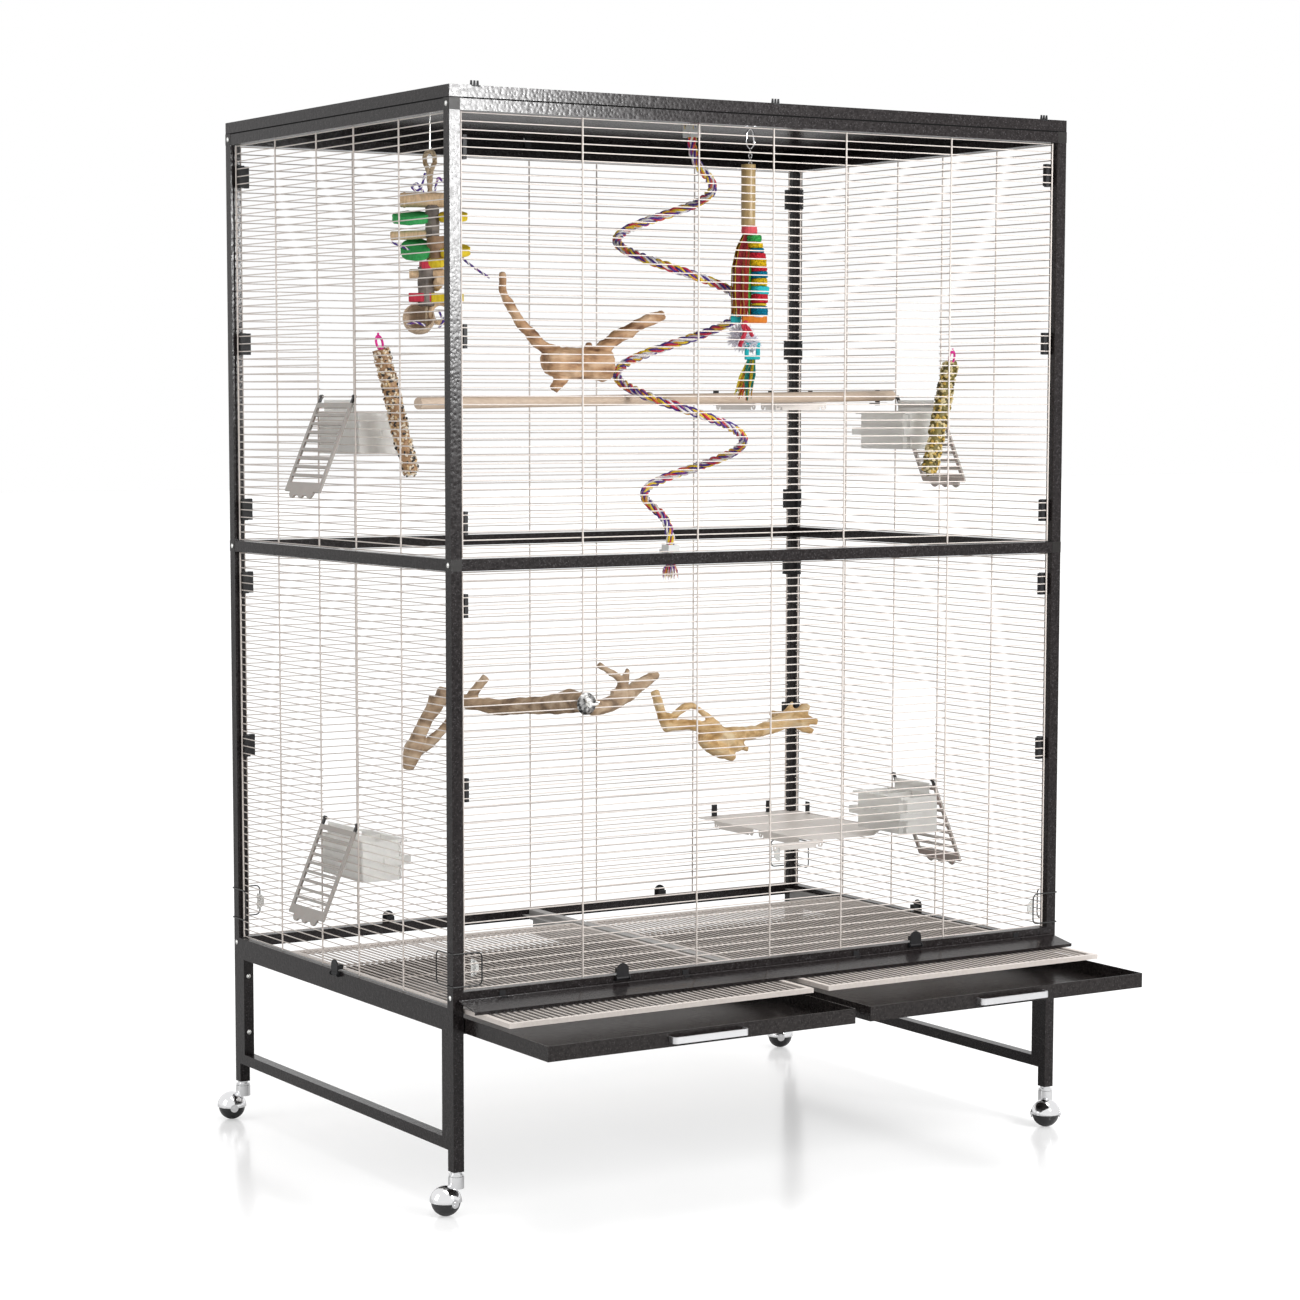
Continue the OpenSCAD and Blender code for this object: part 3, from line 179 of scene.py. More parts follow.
def rope_line():
    """The middle of the rope, from the roof clamp down to the frayed end."""
    first, last, bent = rope_coil(0), rope_coil(coil_steps), 2
    top, foot = first + straight_end, last - straight_end
    points = [top + Vector((0, 0, 0.018 - 0.006 * k)) for k in range(4)]
    for start, bend, end in ((top, first, rope_coil(bent)),
                             (rope_coil(coil_steps - bent), last, foot)):
        if start is not top:
            points += [rope_coil(bent + k / 5) for k in range(1, 5 * (coil_steps - 2 * bent))]
        points += [(1 - t) ** 2 * start + 2 * t * (1 - t) * bend + t * t * end
                   for t in (k / 12 for k in range(1, 13))]
    return points + [foot - Vector((0, 0, 0.0055 * k)) for k in range(1, 9)]


def drawn_tube(points, radii, bands=1):
    """A mesh tube drawn along points, with 4 + 2 * bands sides or so."""
    curve = bpy.data.curves.new("drawn", "CURVE")
    curve.dimensions, curve.bevel_depth, curve.bevel_resolution = "3D", 1.0, bands
    curve.use_fill_caps = True
    line = curve.splines.new("POLY")
    line.points.add(len(points) - 1)
    for spot, point, radius in zip(line.points, points, radii):
        spot.co, spot.radius = (*point, 1.0), radius
    holder = bpy.data.objects.new("drawn", curve)
    mesh = bpy.data.meshes.new_from_object(holder)
    bpy.data.objects.remove(holder)
    return mesh


def strand_line(points, turn, lay, offset):
    """A line that winds round points at an offset, once in each length of lay."""
    line, last, side = [], points[0], Vector((0.9, 0.1, 0.2))
    for here, ahead in zip(points, points[1:] + [2 * points[-1] - points[-2]]):
        run = (ahead - here).normalized()
        side = (side - side.dot(run) * run).normalized()
        turn += (here - last).length / lay * 2 * math.pi
        last = here
        line.append(here + offset * (math.cos(turn) * side + math.sin(turn) * run.cross(side)))
    return line


sharpest_bend = 42


class Piece:
    """Shapes gathered under one name, each in its own finish, that become one mesh on a body."""

    def __init__(self, name, body, slot, place=Matrix()):
        self.name, self.body, self.slot, self.place = name, body, slot, place
        self.shape, self.finishes = bmesh.new(), []

    def take(self, mesh, finish, where=Matrix()):
        """Adds a mesh or a bmesh, placed by where, in a finish."""
        if isinstance(mesh, bmesh.types.BMesh):
            drawn, mesh = mesh, bpy.data.meshes.new("part")
            drawn.to_mesh(mesh)
            drawn.free()
        if finish not in self.finishes:
            self.finishes.append(finish)
        mesh.transform(self.place @ where)
        before = len(self.shape.faces)
        self.shape.from_mesh(mesh)
        bpy.data.meshes.remove(mesh)
        self.shape.faces.ensure_lookup_table()
        for face in self.shape.faces[before:]:
            face.material_index, face.smooth = self.finishes.index(finish), True

    def stand(self, *replaced):
        """Makes the mesh, puts it on its body, and hides the nodes it stands for."""
        mesh = bpy.data.meshes.new(self.name)
        bmesh.ops.recalc_face_normals(self.shape, faces=self.shape.faces)
        self.shape.to_mesh(mesh)
        self.shape.free()
        for finish in self.finishes:
            mesh.materials.append(finish.material)
        mesh.set_sharp_from_angle(angle=math.radians(sharpest_bend))
        made = bpy.data.objects.new(self.name, mesh)
        bpy.context.scene.collection.objects.link(made)
        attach(made, self.body)
        if replaced:
            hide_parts(*replaced)
        return made


def cotton(name, colour, fleck):
    """Cotton yarn with patches of a second colour, and painted shade in the gaps between its
    fibres.
    """
    yarn = Finish(name, colour, 0.9, **{"Sheen Weight": 0.3})
    fine = yarn.grain(2600.0, 2.0)
    patch = yarn.grain(95.0, 0.5) > 0.6
    # Painted shade: a near-black is mixed in where the fine relief sinks between the fibres.
    painted_gap_shade = (0.02, 0.015, 0.03)
    yarn.put({"Base Color": yarn.shade(yarn.shade(colour, fleck, patch), painted_gap_shade,
                                       0.3 - 0.5 * fine)})
    yarn.relief(fine, 0.0008)
    return yarn


purple = cotton("cotton_purple", (0.07, 0.018, 0.3), (0.2, 0.03, 0.35))
yellow = cotton("cotton_yellow", (1.0, 0.7, 0.02), (0.95, 0.36, 0.03))
red = cotton("cotton_red", (0.78, 0.02, 0.08), (0.85, 0.14, 0.06))
white = cotton("cotton_white", (0.98, 0.96, 0.94), (0.85, 0.7, 0.72))
rope_points = rope_line()
rope_length = sum((b - a).length for a, b in zip(rope_points, rope_points[1:]))
core_radius, yarn_radius, yarn_swell = 0.0034, 0.0021, 0.0002
strand_lay, strand_offset = 0.05, 0.0046
yarn_lay, yarn_offset = -0.085, 0.0022
rope = Piece("rope", "cabinet", "rope")
rope.take(drawn_tube(rope_points, [core_radius] * len(rope_points)), purple)
fine_line = [a.lerp(b, k / 3) for a, b in zip(rope_points, rope_points[1:]) for k in range(3)]
fine_line += rope_points[-1:]
for k, yarns in enumerate(((purple, yellow, white, red), (white, purple, yellow, purple),
                           (yellow, red, purple, white))):
    strand = strand_line(fine_line, k * math.pi * 2 / 3, strand_lay, strand_offset)
    for j, yarn in enumerate(yarns):
        spun = strand_line(strand, j * math.pi / 2 + k, yarn_lay, yarn_offset)
        radii = [yarn_radius + yarn_swell * math.sin(i / 5 + k + 2 * j) for i in range(len(spun))]
        rope.take(drawn_tube(spun, radii), yarn)
rope = rope.stand("rope_perch")
fray = Piece("rope_fray", "cabinet", "rope")
dice = random.Random(5)
upper_fray, lower_fray, fray_threads = 0.018, 0.022, 90
thread_radii = [0.0007, 0.0006, 0.0003]
for end, way, length in ((rope_points[0], 1, upper_fray), (rope_points[-1], -1, lower_fray)):
    for k in range(fray_threads):
        angle, out = dice.uniform(0, 2 * math.pi), dice.uniform(0.002, 0.011)
        reach = Vector((math.cos(angle), math.sin(angle), 0))
        yarn = (yellow, purple, white, red)[k % 4]
        start = end + reach * dice.uniform(0, 0.006) - Vector((0, 0, way * 0.012))
        tip = end + reach * out * 1.5 + Vector((0, 0, way * length * dice.uniform(0.2, 1)))
        bow = (start + tip) / 2 + reach * out * 0.4
        fray.take(drawn_tube([start, bow, tip], thread_radii, 0), yarn)
fray.stand()


# --- Posts, rails, stand and roof ---
# Square steel tube and folded sheet in anthracite-brown hammertone enamel, sprayed and stoved, so
# that the coat draws into small shiny dimples.
def dress(finish, *nodes):
    """Gives CAD nodes their finish."""
    for node in nodes:
        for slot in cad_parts[node].material_slots:
            slot.material = finish.material


lid_seam_z, half_seam = 1.862, 0.0012


def hammertone(name, dark, light, glint):
    """Dimpled enamel with painted glints, and painted shade where the lid meets the top rails."""
    enamel = Finish(name, dark, 0.3, **{"Specular IOR Level": 0.22})
    dimples = enamel.add("ShaderNodeTexVoronoi", {"feature": "SMOOTH_F1"},
                         {"Vector": enamel.place(), "Scale": 165.0, "Smoothness": 0.7})
    cloud = enamel.grain(60.0, 3.0)
    # Painted glints: the third colour mixes bright specks of reflected light into the enamel's
    # colour.
    fleck = enamel.shade(enamel.shade(dark, light, dimples * 0.9 + cloud * 0.3 - 0.25), glint,
                         enamel.grain(430.0, 1.0) * 5 - 2.9)
    # Painted shadow: a near-black, rougher line where the lid meets the top rails, standing in for
    # the shade in the joint.
    painted_seam_shadow = abs(enamel.along(2) - lid_seam_z) < half_seam
    enamel.put({"Base Color": enamel.shade(fleck, (0.001, 0.001, 0.001), painted_seam_shadow),
                "Roughness": 0.14 + dimples * 0.1 + cloud * 0.05 + painted_seam_shadow * 0.8})
    enamel.relief(dimples + 0.1 * enamel.grain(900.0, 2.0), 0.00022, 0.9)
    return enamel


# The third colour is a painted glint, spread as bright specks.
frame_enamel = hammertone("hammertone_anthracite", (0.009, 0.007, 0.0072), (0.03, 0.025, 0.025),
                          (0.07, 0.064, 0.067))
dress(frame_enamel, "lower_posts", "upper_posts", "storey_rails", "base_rails", "stand_frames",
      "roof", "flap")

# --- Corner blocks ---
# Nylon blocks moulded in the colour of the enamel, four at mid height and four under the roof, with
# spigots knocked into the posts and rails.
block_nylon = Finish("corner_block_nylon", (0.018, 0.016, 0.015), 0.3,
                     **{"Specular IOR Level": 0.25})
block_nylon.put({"Roughness": 0.24 + 0.12 * block_nylon.grain(300.0)})
block_nylon.relief(block_nylon.grain(1800.0, 1.0), 0.0002)
dress(block_nylon, "mid_connectors", "top_connectors")

# --- Clips, latches, brackets and hooks ---
# Tough black plastic from a textured mould, with small patches that are duller or greyer. The
# clips and latches snap over the edge wires of the panels.
black_moulding = Finish("black_moulding", (0.012, 0.012, 0.013), 0.42,
                        **{"Specular IOR Level": 0.25})
black_moulding.put({"Roughness": 0.36 + 0.18 * black_moulding.grain(220.0),
                    "Base Color": black_moulding.shade((0.008, 0.008, 0.009), (0.026, 0.026, 0.028),
                                                       black_moulding.grain(45.0))})
black_moulding.relief(black_moulding.grain(2600.0, 1.0), 0.00012)
dress(black_moulding, "panel_clips", "roof_clips", "rail_brackets", "latch_front_left",
      "latch_front_right", "latch_left", "latch_right", "latch_back_left", "latch_back_right",
      "shelf_hooks")

# --- Screws, ring plates, toy hooks and caster metal ---
# Steel with bright zinc on the screws, rivet plates and hooks, and polished chrome on the stems
# and hoods of the casters, which plug into the legs.
zinc = Finish("bright_zinc", (0.78, 0.78, 0.76), 0.24, Metallic=1.0)
zinc.put({"Roughness": 0.18 + 0.2 * zinc.grain(500.0)})
zinc.relief(zinc.grain(1400.0), 0.00008)
dress(zinc, "frame_screws", "ring_plates", "toy_hooks")
chrome = Finish("polished_chrome", (0.8, 0.8, 0.81), 0.08, Metallic=1.0)
chrome.put({"Roughness": 0.05 + 0.09 * chrome.grain(120.0, 4.0)})
dress(chrome, "caster_stems", "caster_yoke_fl", "caster_yoke_fr", "caster_yoke_bl",
      "caster_yoke_br")

# --- Caster balls ---
# Hard black rubber balls on an axle in the hood, turned to a soft gloss, with dust and fine
# scuffs round the tread.
tread = Finish("black_ball_tread", (0.01, 0.01, 0.011), 0.25,
               **{"Coat Weight": 0.4, "Coat Roughness": 0.15})
scuff = tread.grain(340.0, 5.0, (1, 1, 4))
tread.put({"Roughness": 0.2 + 0.3 * scuff,
           "Base Color": tread.shade((0.006, 0.006, 0.007), (0.03, 0.03, 0.032), scuff * 0.6)})
tread.relief(scuff, 0.0001)
dress(tread, "caster_ball_fl", "caster_ball_fr", "caster_ball_bl", "caster_ball_br")

# --- Wire panels and floor grids ---
# Mild steel wire, spot-welded and powder-coated in warm cream. The coat is uneven, paler where it
# has pooled.
cream_coat = Finish("cream_powder_coat", (0.66, 0.6, 0.56), 0.4)
pooled = cream_coat.grain(180.0, 3.0)
cream_coat.put({"Base Color": cream_coat.shade((0.66, 0.59, 0.545), (0.82, 0.76, 0.71), pooled),
                "Roughness": 0.32 + 0.2 * pooled})
cream_coat.relief(cream_coat.grain(1600.0, 2.0), 0.00015)
dress(cream_coat, "front_upper_panel", "front_lower_panel", "side_upper_panels",
      "side_lower_panels", "back_upper_panel", "back_lower_panel", "floor_grid_left",
      "floor_grid_right")

# --- Lock rings ---
# Sprung steel wire with a thin black coat: a long ring in each lower corner, bent round the post,
# that keeps the panels on both sides of it shut.
ring_coat = Finish("black_spring_wire", (0.015, 0.015, 0.015), 0.35)
ring_coat.put({"Roughness": 0.3 + 0.15 * ring_coat.grain(400.0)})
ring_coat.relief(ring_coat.grain(1500.0), 0.0001)
dress(ring_coat, "lock_rings")

# --- Trays and runners ---
# Folded steel sheet: the trays in the frame's hammertone, and the runners that carry them in plain
# grey enamel.
# The third colour is a painted glint, spread as bright specks.
tray_enamel = hammertone("hammertone_tray", (0.01, 0.008, 0.0078), (0.033, 0.028, 0.027),
                         (0.06, 0.054, 0.053))
dress(tray_enamel, "tray_left", "tray_right")
runner_enamel = Finish("grey_runner_enamel", (0.4, 0.39, 0.38), 0.45)
runner_enamel.put({"Base Color": runner_enamel.shade((0.33, 0.32, 0.31), (0.44, 0.43, 0.42),
                                                     runner_enamel.grain(40.0, 4.0))})
runner_enamel.relief(runner_enamel.grain(900.0), 0.0001)
dress(runner_enamel, "runners")

# --- Tray handles ---
# Bows bent from flat aluminium bar, satin-anodised and brushed along their length, one on the
# front of each tray.
satin = Finish("satin_aluminium", (0.72, 0.72, 0.73), 0.3, Metallic=1.0)
brushed = satin.grain(700.0, 2.0, (0.03, 1, 1))
satin.put({"Roughness": 0.24 + 0.22 * brushed})
satin.relief(brushed, 0.00006)
dress(satin, "handle_left", "handle_right")

# --- Landing doors ---
# One barred moulding each, in warm grey plastic. The two arms that hook over the wire, round the
# axis at hook_x and hook_z from the middle, are black.
hook_x, hook_z, middle_z, arm_reach = 0.63898, 0.3775, 0.99873, 0.0128
warm_grey = Finish("warm_grey_moulding", (0.42, 0.39, 0.36), 0.4, **{"Subsurface Weight": 0.05})
beside = abs(abs(warm_grey.along(0)) - hook_x)
above = abs(abs(warm_grey.along(2) - middle_z) - hook_z)
grey_plate = warm_grey.shade((0.34, 0.315, 0.29), (0.43, 0.4, 0.37), warm_grey.grain(35.0))
warm_grey.put({"Base Color": warm_grey.shade(grey_plate, (0.012, 0.012, 0.012),
                                             beside * beside + above * above < arm_reach ** 2),
               "Roughness": 0.36 + 0.12 * warm_grey.grain(260.0)})
warm_grey.relief(warm_grey.grain(2000.0), 0.0001)
dress(warm_grey, "landing_door_left_upper", "landing_door_left_lower", "landing_door_right_upper",
      "landing_door_right_lower")

# --- Feeders and rope clamps ---
# Milky polypropylene tubs, thin enough to let light through, hung inside under the landing doors,
# and the solid white clamps at both ends of the rope.
milky = Finish("milky_tub", (0.97, 0.96, 0.94), 0.45, **{"Transmission Weight": 0.5, "IOR": 1.2})
milky.put({"Roughness": 0.38 + 0.14 * milky.grain(60.0),
           "Base Color": milky.shade((0.95, 0.94, 0.91), (0.99, 0.985, 0.97), milky.grain(25.0))})
dress(milky, "feeders")
clamp_white = Finish("white_clamp", (0.8, 0.8, 0.79), 0.3, **{"Subsurface Weight": 0.05})
clamp_white.put({"Roughness": 0.25 + 0.15 * clamp_white.grain(300.0)})
dress(clamp_white, "rope_fittings")

# --- Corner shelves ---
# Steel sheet with its wings folded down, powder-coated cream like the wire, and hooked over the
# wires of a back corner.
shelf_coat = Finish("shelf_coat", (0.86, 0.81, 0.77), 0.42)
shelf_coat.put({"Base Color": shelf_coat.shade((0.82, 0.76, 0.71), (0.92, 0.88, 0.84),
                                               shelf_coat.grain(60.0, 3.0))})
shelf_coat.relief(shelf_coat.grain(1300.0), 0.0001)
dress(shelf_coat, "corner_shelves")

# --- Dowel ---
# A turned beech rod with its grain running along. It rises across the upper storey, from the left
# panel to the shelf in the back right corner.
beech = Finish("turned_beech", (0.66, 0.53, 0.41), 0.55)
fibre = beech.grain(240.0, 4.0, (0.04, 1, 1))
beech.put({"Base Color": beech.shade((0.5, 0.37, 0.27), (0.74, 0.61, 0.49), fibre),
           "Roughness": 0.5 + 0.2 * fibre})
beech.relief(fibre, 0.0003)
dress(beech, "dowel_perch")


# --- Root and branches ---
# Natural hardwood, debarked and sandblasted: the root lies on the dowel, the others are bolted to
# the lower front and to the back.
def natural_wood(name, dark, mid, light):
    """Weathered wood with broad streaks and fine dark veins along x."""
    wood = Finish(name, mid, 0.65)
    streak = wood.grain(38.0, 6.0, (0.5, 1.4, 1.4))
    vein = wood.grain(210.0, 4.0, (0.15, 1, 1))
    tone = wood.add("ShaderNodeValToRGB", {"stops": ((0.32, dark), (0.5, mid), (0.7, light))},
                    {"Fac": streak})
    wood.put({"Base Color": wood.shade(tone, dark, vein * 0.45),
              "Roughness": 0.55 + 0.25 * vein})
    wood.relief(vein + streak, 0.0012)
    return wood


skin_voxel, limb_steps = 2.5, 6


def limb_mesh(limbs, knots, hollows=()):
    """Limbs of (x, y, z, radius) in millimetres grown into one skin, with lumps as deep as knots
    and hollows of (x, y, z, radius, depth)."""
    parts = bmesh.new()
    for limb in limbs:
        points, radii = [], []
        for a, b in zip(limb, limb[1:]):
            for k in range(limb_steps):
                points.append(Vector([p + (q - p) * k / limb_steps for p, q in zip(a[:3], b[:3])]))
                radii.append(a[3] + (b[3] - a[3]) * k / limb_steps)
        points.append(Vector(limb[-1][:3]))
        radii.append(limb[-1][3])
        for _ in range(3):
            points[1:-1] = [(a + b + c) / 3 for a, b, c in zip(points, points[1:], points[2:])]
        parts.from_mesh(drawn_tube(points, radii, 4))
    mesh = bpy.data.meshes.new("limbs")
    parts.to_mesh(mesh)
    parts.free()
    holder = bpy.data.objects.new("limbs", mesh)
    bpy.context.scene.collection.objects.link(holder)
    skin = holder.modifiers.new("skin", "REMESH")
    skin.mode, skin.voxel_size = "VOXEL", skin_voxel
    soft = holder.modifiers.new("soft", "SMOOTH")
    soft.iterations = 6
    finished = holder.evaluated_get(bpy.context.evaluated_depsgraph_get())
    grown = bpy.data.meshes.new_from_object(finished)
    bpy.data.objects.remove(holder)
    shape = bmesh.new()
    shape.from_mesh(grown)
    shape.normal_update()
    for vert in shape.verts:
        lump = noise.noise(vert.co * 0.038) + 0.35 * noise.noise(vert.co * 0.11)
        vert.co += vert.normal * knots * lump
        for *middle, radius, depth in hollows:
            share = max(0.0, 1 - (vert.co - Vector(middle)).length / radius)
            vert.co -= vert.normal * depth * share
    return shape


def from_mm(x, y, z):
    """Puts a piece drawn in millimetres at a place in millimetres."""
    return Matrix.Translation((x / 1000, y / 1000, z / 1000)) @ Matrix.Scale(0.001, 4)


dark_nickel = Finish("dark_nickel_washer", (0.3, 0.29, 0.28), 0.2, Metallic=1.0)
tarnish = dark_nickel.grain(170.0, 4.0)
dark_nickel.put({"Base Color": dark_nickel.shade((0.05, 0.05, 0.05), (0.6, 0.59, 0.58),
                                                 tarnish * 3 - 1.1),
                 "Roughness": 0.15 + 0.25 * tarnish})
dark_nickel.relief(tarnish, 0.0006)
root = Piece("root_wood", "cabinet", "root_wood", from_mm(-225, -48.7, 1422.7))
root.take(limb_mesh([
    [(-95, 0, 14, 20), (-82, 0, 15, 27), (-45, 0, 13, 29), (0, 0, 11, 28), (26, 0, 9, 28),
     (38, 0, 8, 27)],
    [(-70, 0, 28, 15), (-104, 2, 44, 11), (-131, 4, 70, 9.5), (-161, 6, 104, 8.5),
     (-177, 8, 139, 8), (-178, 8, 172, 7.5)],
    [(5, 0, 24, 16), (24, 0, 38, 13), (64, 4, 62, 12), (103, 6, 82, 12), (156, 8, 102, 10.5)],
    [(-50, 0, -2, 13), (-68, -4, -18, 11), (-82, -6, -34, 9.5)],
    [(-4, 0, 30, 8), (-8, -2, 48, 6)]],
    4.0, ((-30, -30, 0, 20, 11), (5, -30, -12, 17, 9), (-66, -28, 22, 14, 6))),
    natural_wood("blasted_root", (0.16, 0.07, 0.03), (0.6, 0.35, 0.18), (0.85, 0.6, 0.39)))
root.stand("root_perch")
branch = Piece("bolted_branch", "front_lower_door", "root_wood", from_mm(-385, -298.7, 854))
branch.take(limb_mesh([
    [(0, 12, 0, 15), (0, 24, 0, 16), (2, 60, 1, 21), (-9, 95, -8, 18), (-33, 145, -13, 15),
     (-65, 190, -19, 15), (-86, 208, -14, 13), (-108, 225, -10, 12), (-137, 238, -2, 14),
     (-158, 246, 4, 17)],
    [(-158, 246, 0, 15), (-163, 248, -18, 14), (-178, 250, -38, 12), (-192, 252, -65, 12),
     (-201, 252, -88, 18), (-210, 252, -111, 14), (-212, 252, -124, 9)],
    [(-199, 252, -91, 13), (-184, 251, -89, 10), (-168, 248, -76, 9), (-144, 244, -53, 8),
     (-126, 240, -34, 8)],
    [(-118, 229, -11, 10), (-105, 224, -4, 9), (-91, 222, 14, 8.5), (-74, 220, 34, 7.5)],
    [(0, 30, 0, 15), (21, 50, -5, 15), (51, 60, -15, 14), (91, 80, -13, 14), (123, 95, -4, 14),
     (157, 112, 5, 14), (191, 130, 16, 12), (232, 148, 29, 9)],
    [(122, 96, -2, 13), (129, 98, 12, 12), (136, 100, 26, 8), (145, 102, 47, 4.5)],
    [(130, 100, 21, 8), (126, 100, 31, 6), (109, 98, 41, 6), (79, 94, 57, 5)],
    [(124, 98, 7, 8), (105, 92, 8, 6)]], 2.5),
    natural_wood("grey_branch", (0.17, 0.11, 0.065), (0.46, 0.32, 0.2), (0.7, 0.55, 0.4)))
cap = bmesh.new()
bmesh.ops.create_uvsphere(cap, u_segments=40, v_segments=20, radius=26)
bmesh.ops.bisect_plane(cap, geom=[*cap.verts, *cap.edges, *cap.faces], plane_co=(0, 0, 17.5),
                       plane_no=(0, 0, -1), clear_outer=True)
bmesh.ops.holes_fill(cap, edges=[e for e in cap.edges if e.is_boundary], sides=0)
branch.take(cap, dark_nickel,
            Matrix.Translation((0, 22, 0)) @ Matrix.Rotation(math.radians(90), 4, "X"))
branch.take(drawn_tube([Vector((0, -9, 0)), Vector((0, 16, 0))], [2.6, 2.6], 3), zinc)
branch.take(drawn_tube([Vector((0, -7, 0)), Vector((0, -3, 0))], [5.5, 6.5], 3), zinc)
for way in (-1, 1):
    wing = [Vector((way * x, y, z)) for x, y, z in
            ((3, -5, 1), (8, -7, 3), (13, -8, 6), (13.5, -8, 10), (9, -7, 9))]
    branch.take(drawn_tube(wing, [2.6, 2.6, 2.4, 2.2, 1.8], 2), zinc,
                Matrix.Rotation(math.radians(25), 4, "Y"))
branch.stand("branch_perch_left")
pale = Piece("pale_branch", "cabinet", "pale_wood", from_mm(500, 0, 735))
pale.take(limb_mesh([
    [(86, 548, -20, 9), (86, 512, -20, 9), (80, 470, -18, 10), (66, 440, -18, 17)],
    [(72, 428, -16, 19), (47, 439, -21, 19), (13, 433, -29, 15), (-31, 417, -36, 14),
     (-80, 394, -38, 14), (-129, 370, -36, 17), (-173, 357, -33, 18), (-198, 350, -21, 17),
     (-225, 346, -12, 13), (-261, 340, -6, 11), (-286, 337, -5, 10.5), (-323, 334, -6, 11.5)],
    [(-320, 334, -5, 10), (-327, 334, 12, 9.5), (-334, 333, 36, 9), (-345, 333, 66, 8.5)],
    [(-227, 345, -29, 13), (-198, 350, -52, 19), (-163, 360, -64, 18), (-134, 368, -83, 8)],
    [(-167, 359, -39, 18), (-143, 366, -53, 18), (-118, 374, -59, 12), (-90, 387, -66, 7)],
    [(-319, 334, 12, 9), (-299, 336, 11, 8), (-280, 338, 26, 8), (-259, 340, 34, 8),
     (-242, 343, 28, 7)],
    [(-238, 343, 26, 5.5), (-197, 351, -1, 6), (-144, 366, -35, 6), (-84, 391, -69, 5.5)],
    [(69, 430, -11, 16), (78, 424, -3, 13), (82, 421, 11, 9)],
    [(72, 428, -19, 15), (89, 416, -21, 10), (102, 407, -25, 7)],
    [(65, 432, -25, 12), (78, 425, -37, 9), (94, 412, -46, 6.5)],
    [(48, 439, -13, 12), (51, 439, -4, 8), (59, 435, 18, 3.5)]],
    3.0, ((-180, 335, -45, 16, 6), (-150, 345, -62, 12, 6), (-205, 330, -40, 10, 5))),
    natural_wood("pale_branch_wood", (0.45, 0.25, 0.08), (0.86, 0.6, 0.31), (0.97, 0.8, 0.54)))
pale.stand("branch_perch_right")


# --- Seed sticks ---
# Whole seeds and grains pressed round a stick, with a bright clip at the top; the left one is
# mixed and brown, the right one is millet yellow.
def grain_finish(name, dark, light):
    """The speckled husk of a seed."""
    husk = Finish(name, light, 0.5)
    husk.put({"Base Color": husk.shade(dark, light, husk.grain(420.0, 2.0)),
              "Roughness": 0.35 + 0.3 * husk.grain(900.0)})
    husk.relief(husk.grain(2200.0, 2.0), 0.0002)
    return husk


pink = Finish("pink_clip", (0.85, 0.03, 0.35), 0.35)
pink.put({"Roughness": 0.3 + 0.15 * pink.grain(500.0)})
seed_mix = (((0.3, 0.16, 0.07), (0.55, 0.34, 0.18)), ((0.012, 0.01, 0.008), (0.04, 0.03, 0.025)),
            ((0.75, 0.62, 0.44), (0.92, 0.84, 0.7)), ((0.6, 0.4, 0.18), (0.82, 0.6, 0.34)))
millet = (((0.14, 0.11, 0.02), (0.32, 0.26, 0.06)), ((0.04, 0.03, 0.008), (0.14, 0.1, 0.025)),
          ((0.75, 0.6, 0.26), (0.95, 0.82, 0.5)), ((0.6, 0.38, 0.06), (0.85, 0.58, 0.14)))
seed_count, taper_start, taper_length = 620, 0.93, 0.07
for side, name, tones, top_z, foot_z in ((-1, "left", seed_mix, 1457, 1239),
                                         (1, "right", millet, 1441, 1229)):
    top, foot = Vector((620.7, 1.3, top_z)), Vector((566, -4.7, foot_z))
    stick = Piece("seed_stick_" + name, "cabinet", "seed",
                  Matrix.Scale(0.001, 4) @ Matrix.Diagonal((side, 1, 1, 1)))
    husks = [grain_finish("%s_seed_%d" % (name, i), *tone) for i, tone in enumerate(tones)]
    run, dice = (foot - top).normalized(), random.Random(11 + side)
    side_way = run.cross(Vector((0, 1, 0))).normalized()
    length = (foot - top).length
    core = [top, top + run * length * 0.5, top + run * (length - 9), foot - run * 1]
    stick.take(drawn_tube(core, [13, 14, 13.5, 6], 5), husks[0])
    for _ in range(seed_count):
        down, angle = dice.uniform(0.0, 1.0), dice.uniform(0, 2 * math.pi)
        narrow = 1 - 0.45 * max(0.0, (down - taper_start) / taper_length) ** 2
        out = math.cos(angle) * side_way + math.sin(angle) * run.cross(side_way)
        at = top + run * (length * down) + out * narrow * dice.uniform(13.2, 15.8)
        seed = bmesh.new()
        bmesh.ops.create_icosphere(seed, subdivisions=1, radius=1)
        outward = out.to_track_quat("Z", "Y").to_matrix().to_4x4()
        turn = outward @ Matrix.Rotation(dice.uniform(0, math.pi), 4, "Z")
        size = dice.uniform(0.8, 1.25) * (1.35 if side > 0 else 1)
        oval = Matrix.Diagonal((3.4 * size, 2.1 * size, 1.9 * size, 1))
        stick.take(seed, husks[dice.choice((0, 1, 2, 2, 3))], Matrix.Translation(at) @ turn @ oval)
    loop = []
    for a in range(-90, 271, 15):
        across, up = 6 * math.cos(math.radians(a)), 12 + 12 * math.sin(math.radians(a))
        loop.append(top - run * up + side_way * across)
    stick.take(drawn_tube([top + run * 8, top - run * 4], [3, 3], 3), pink)
    stick.take(drawn_tube(loop, [2.2] * len(loop), 2), pink)
    stick.take(drawn_tube([top - run * 20, top - run * 29 + side_way * -2], [2.2, 2.0], 2), pink)
    stick.stand(*(["seed_sticks"] if side < 0 else []))


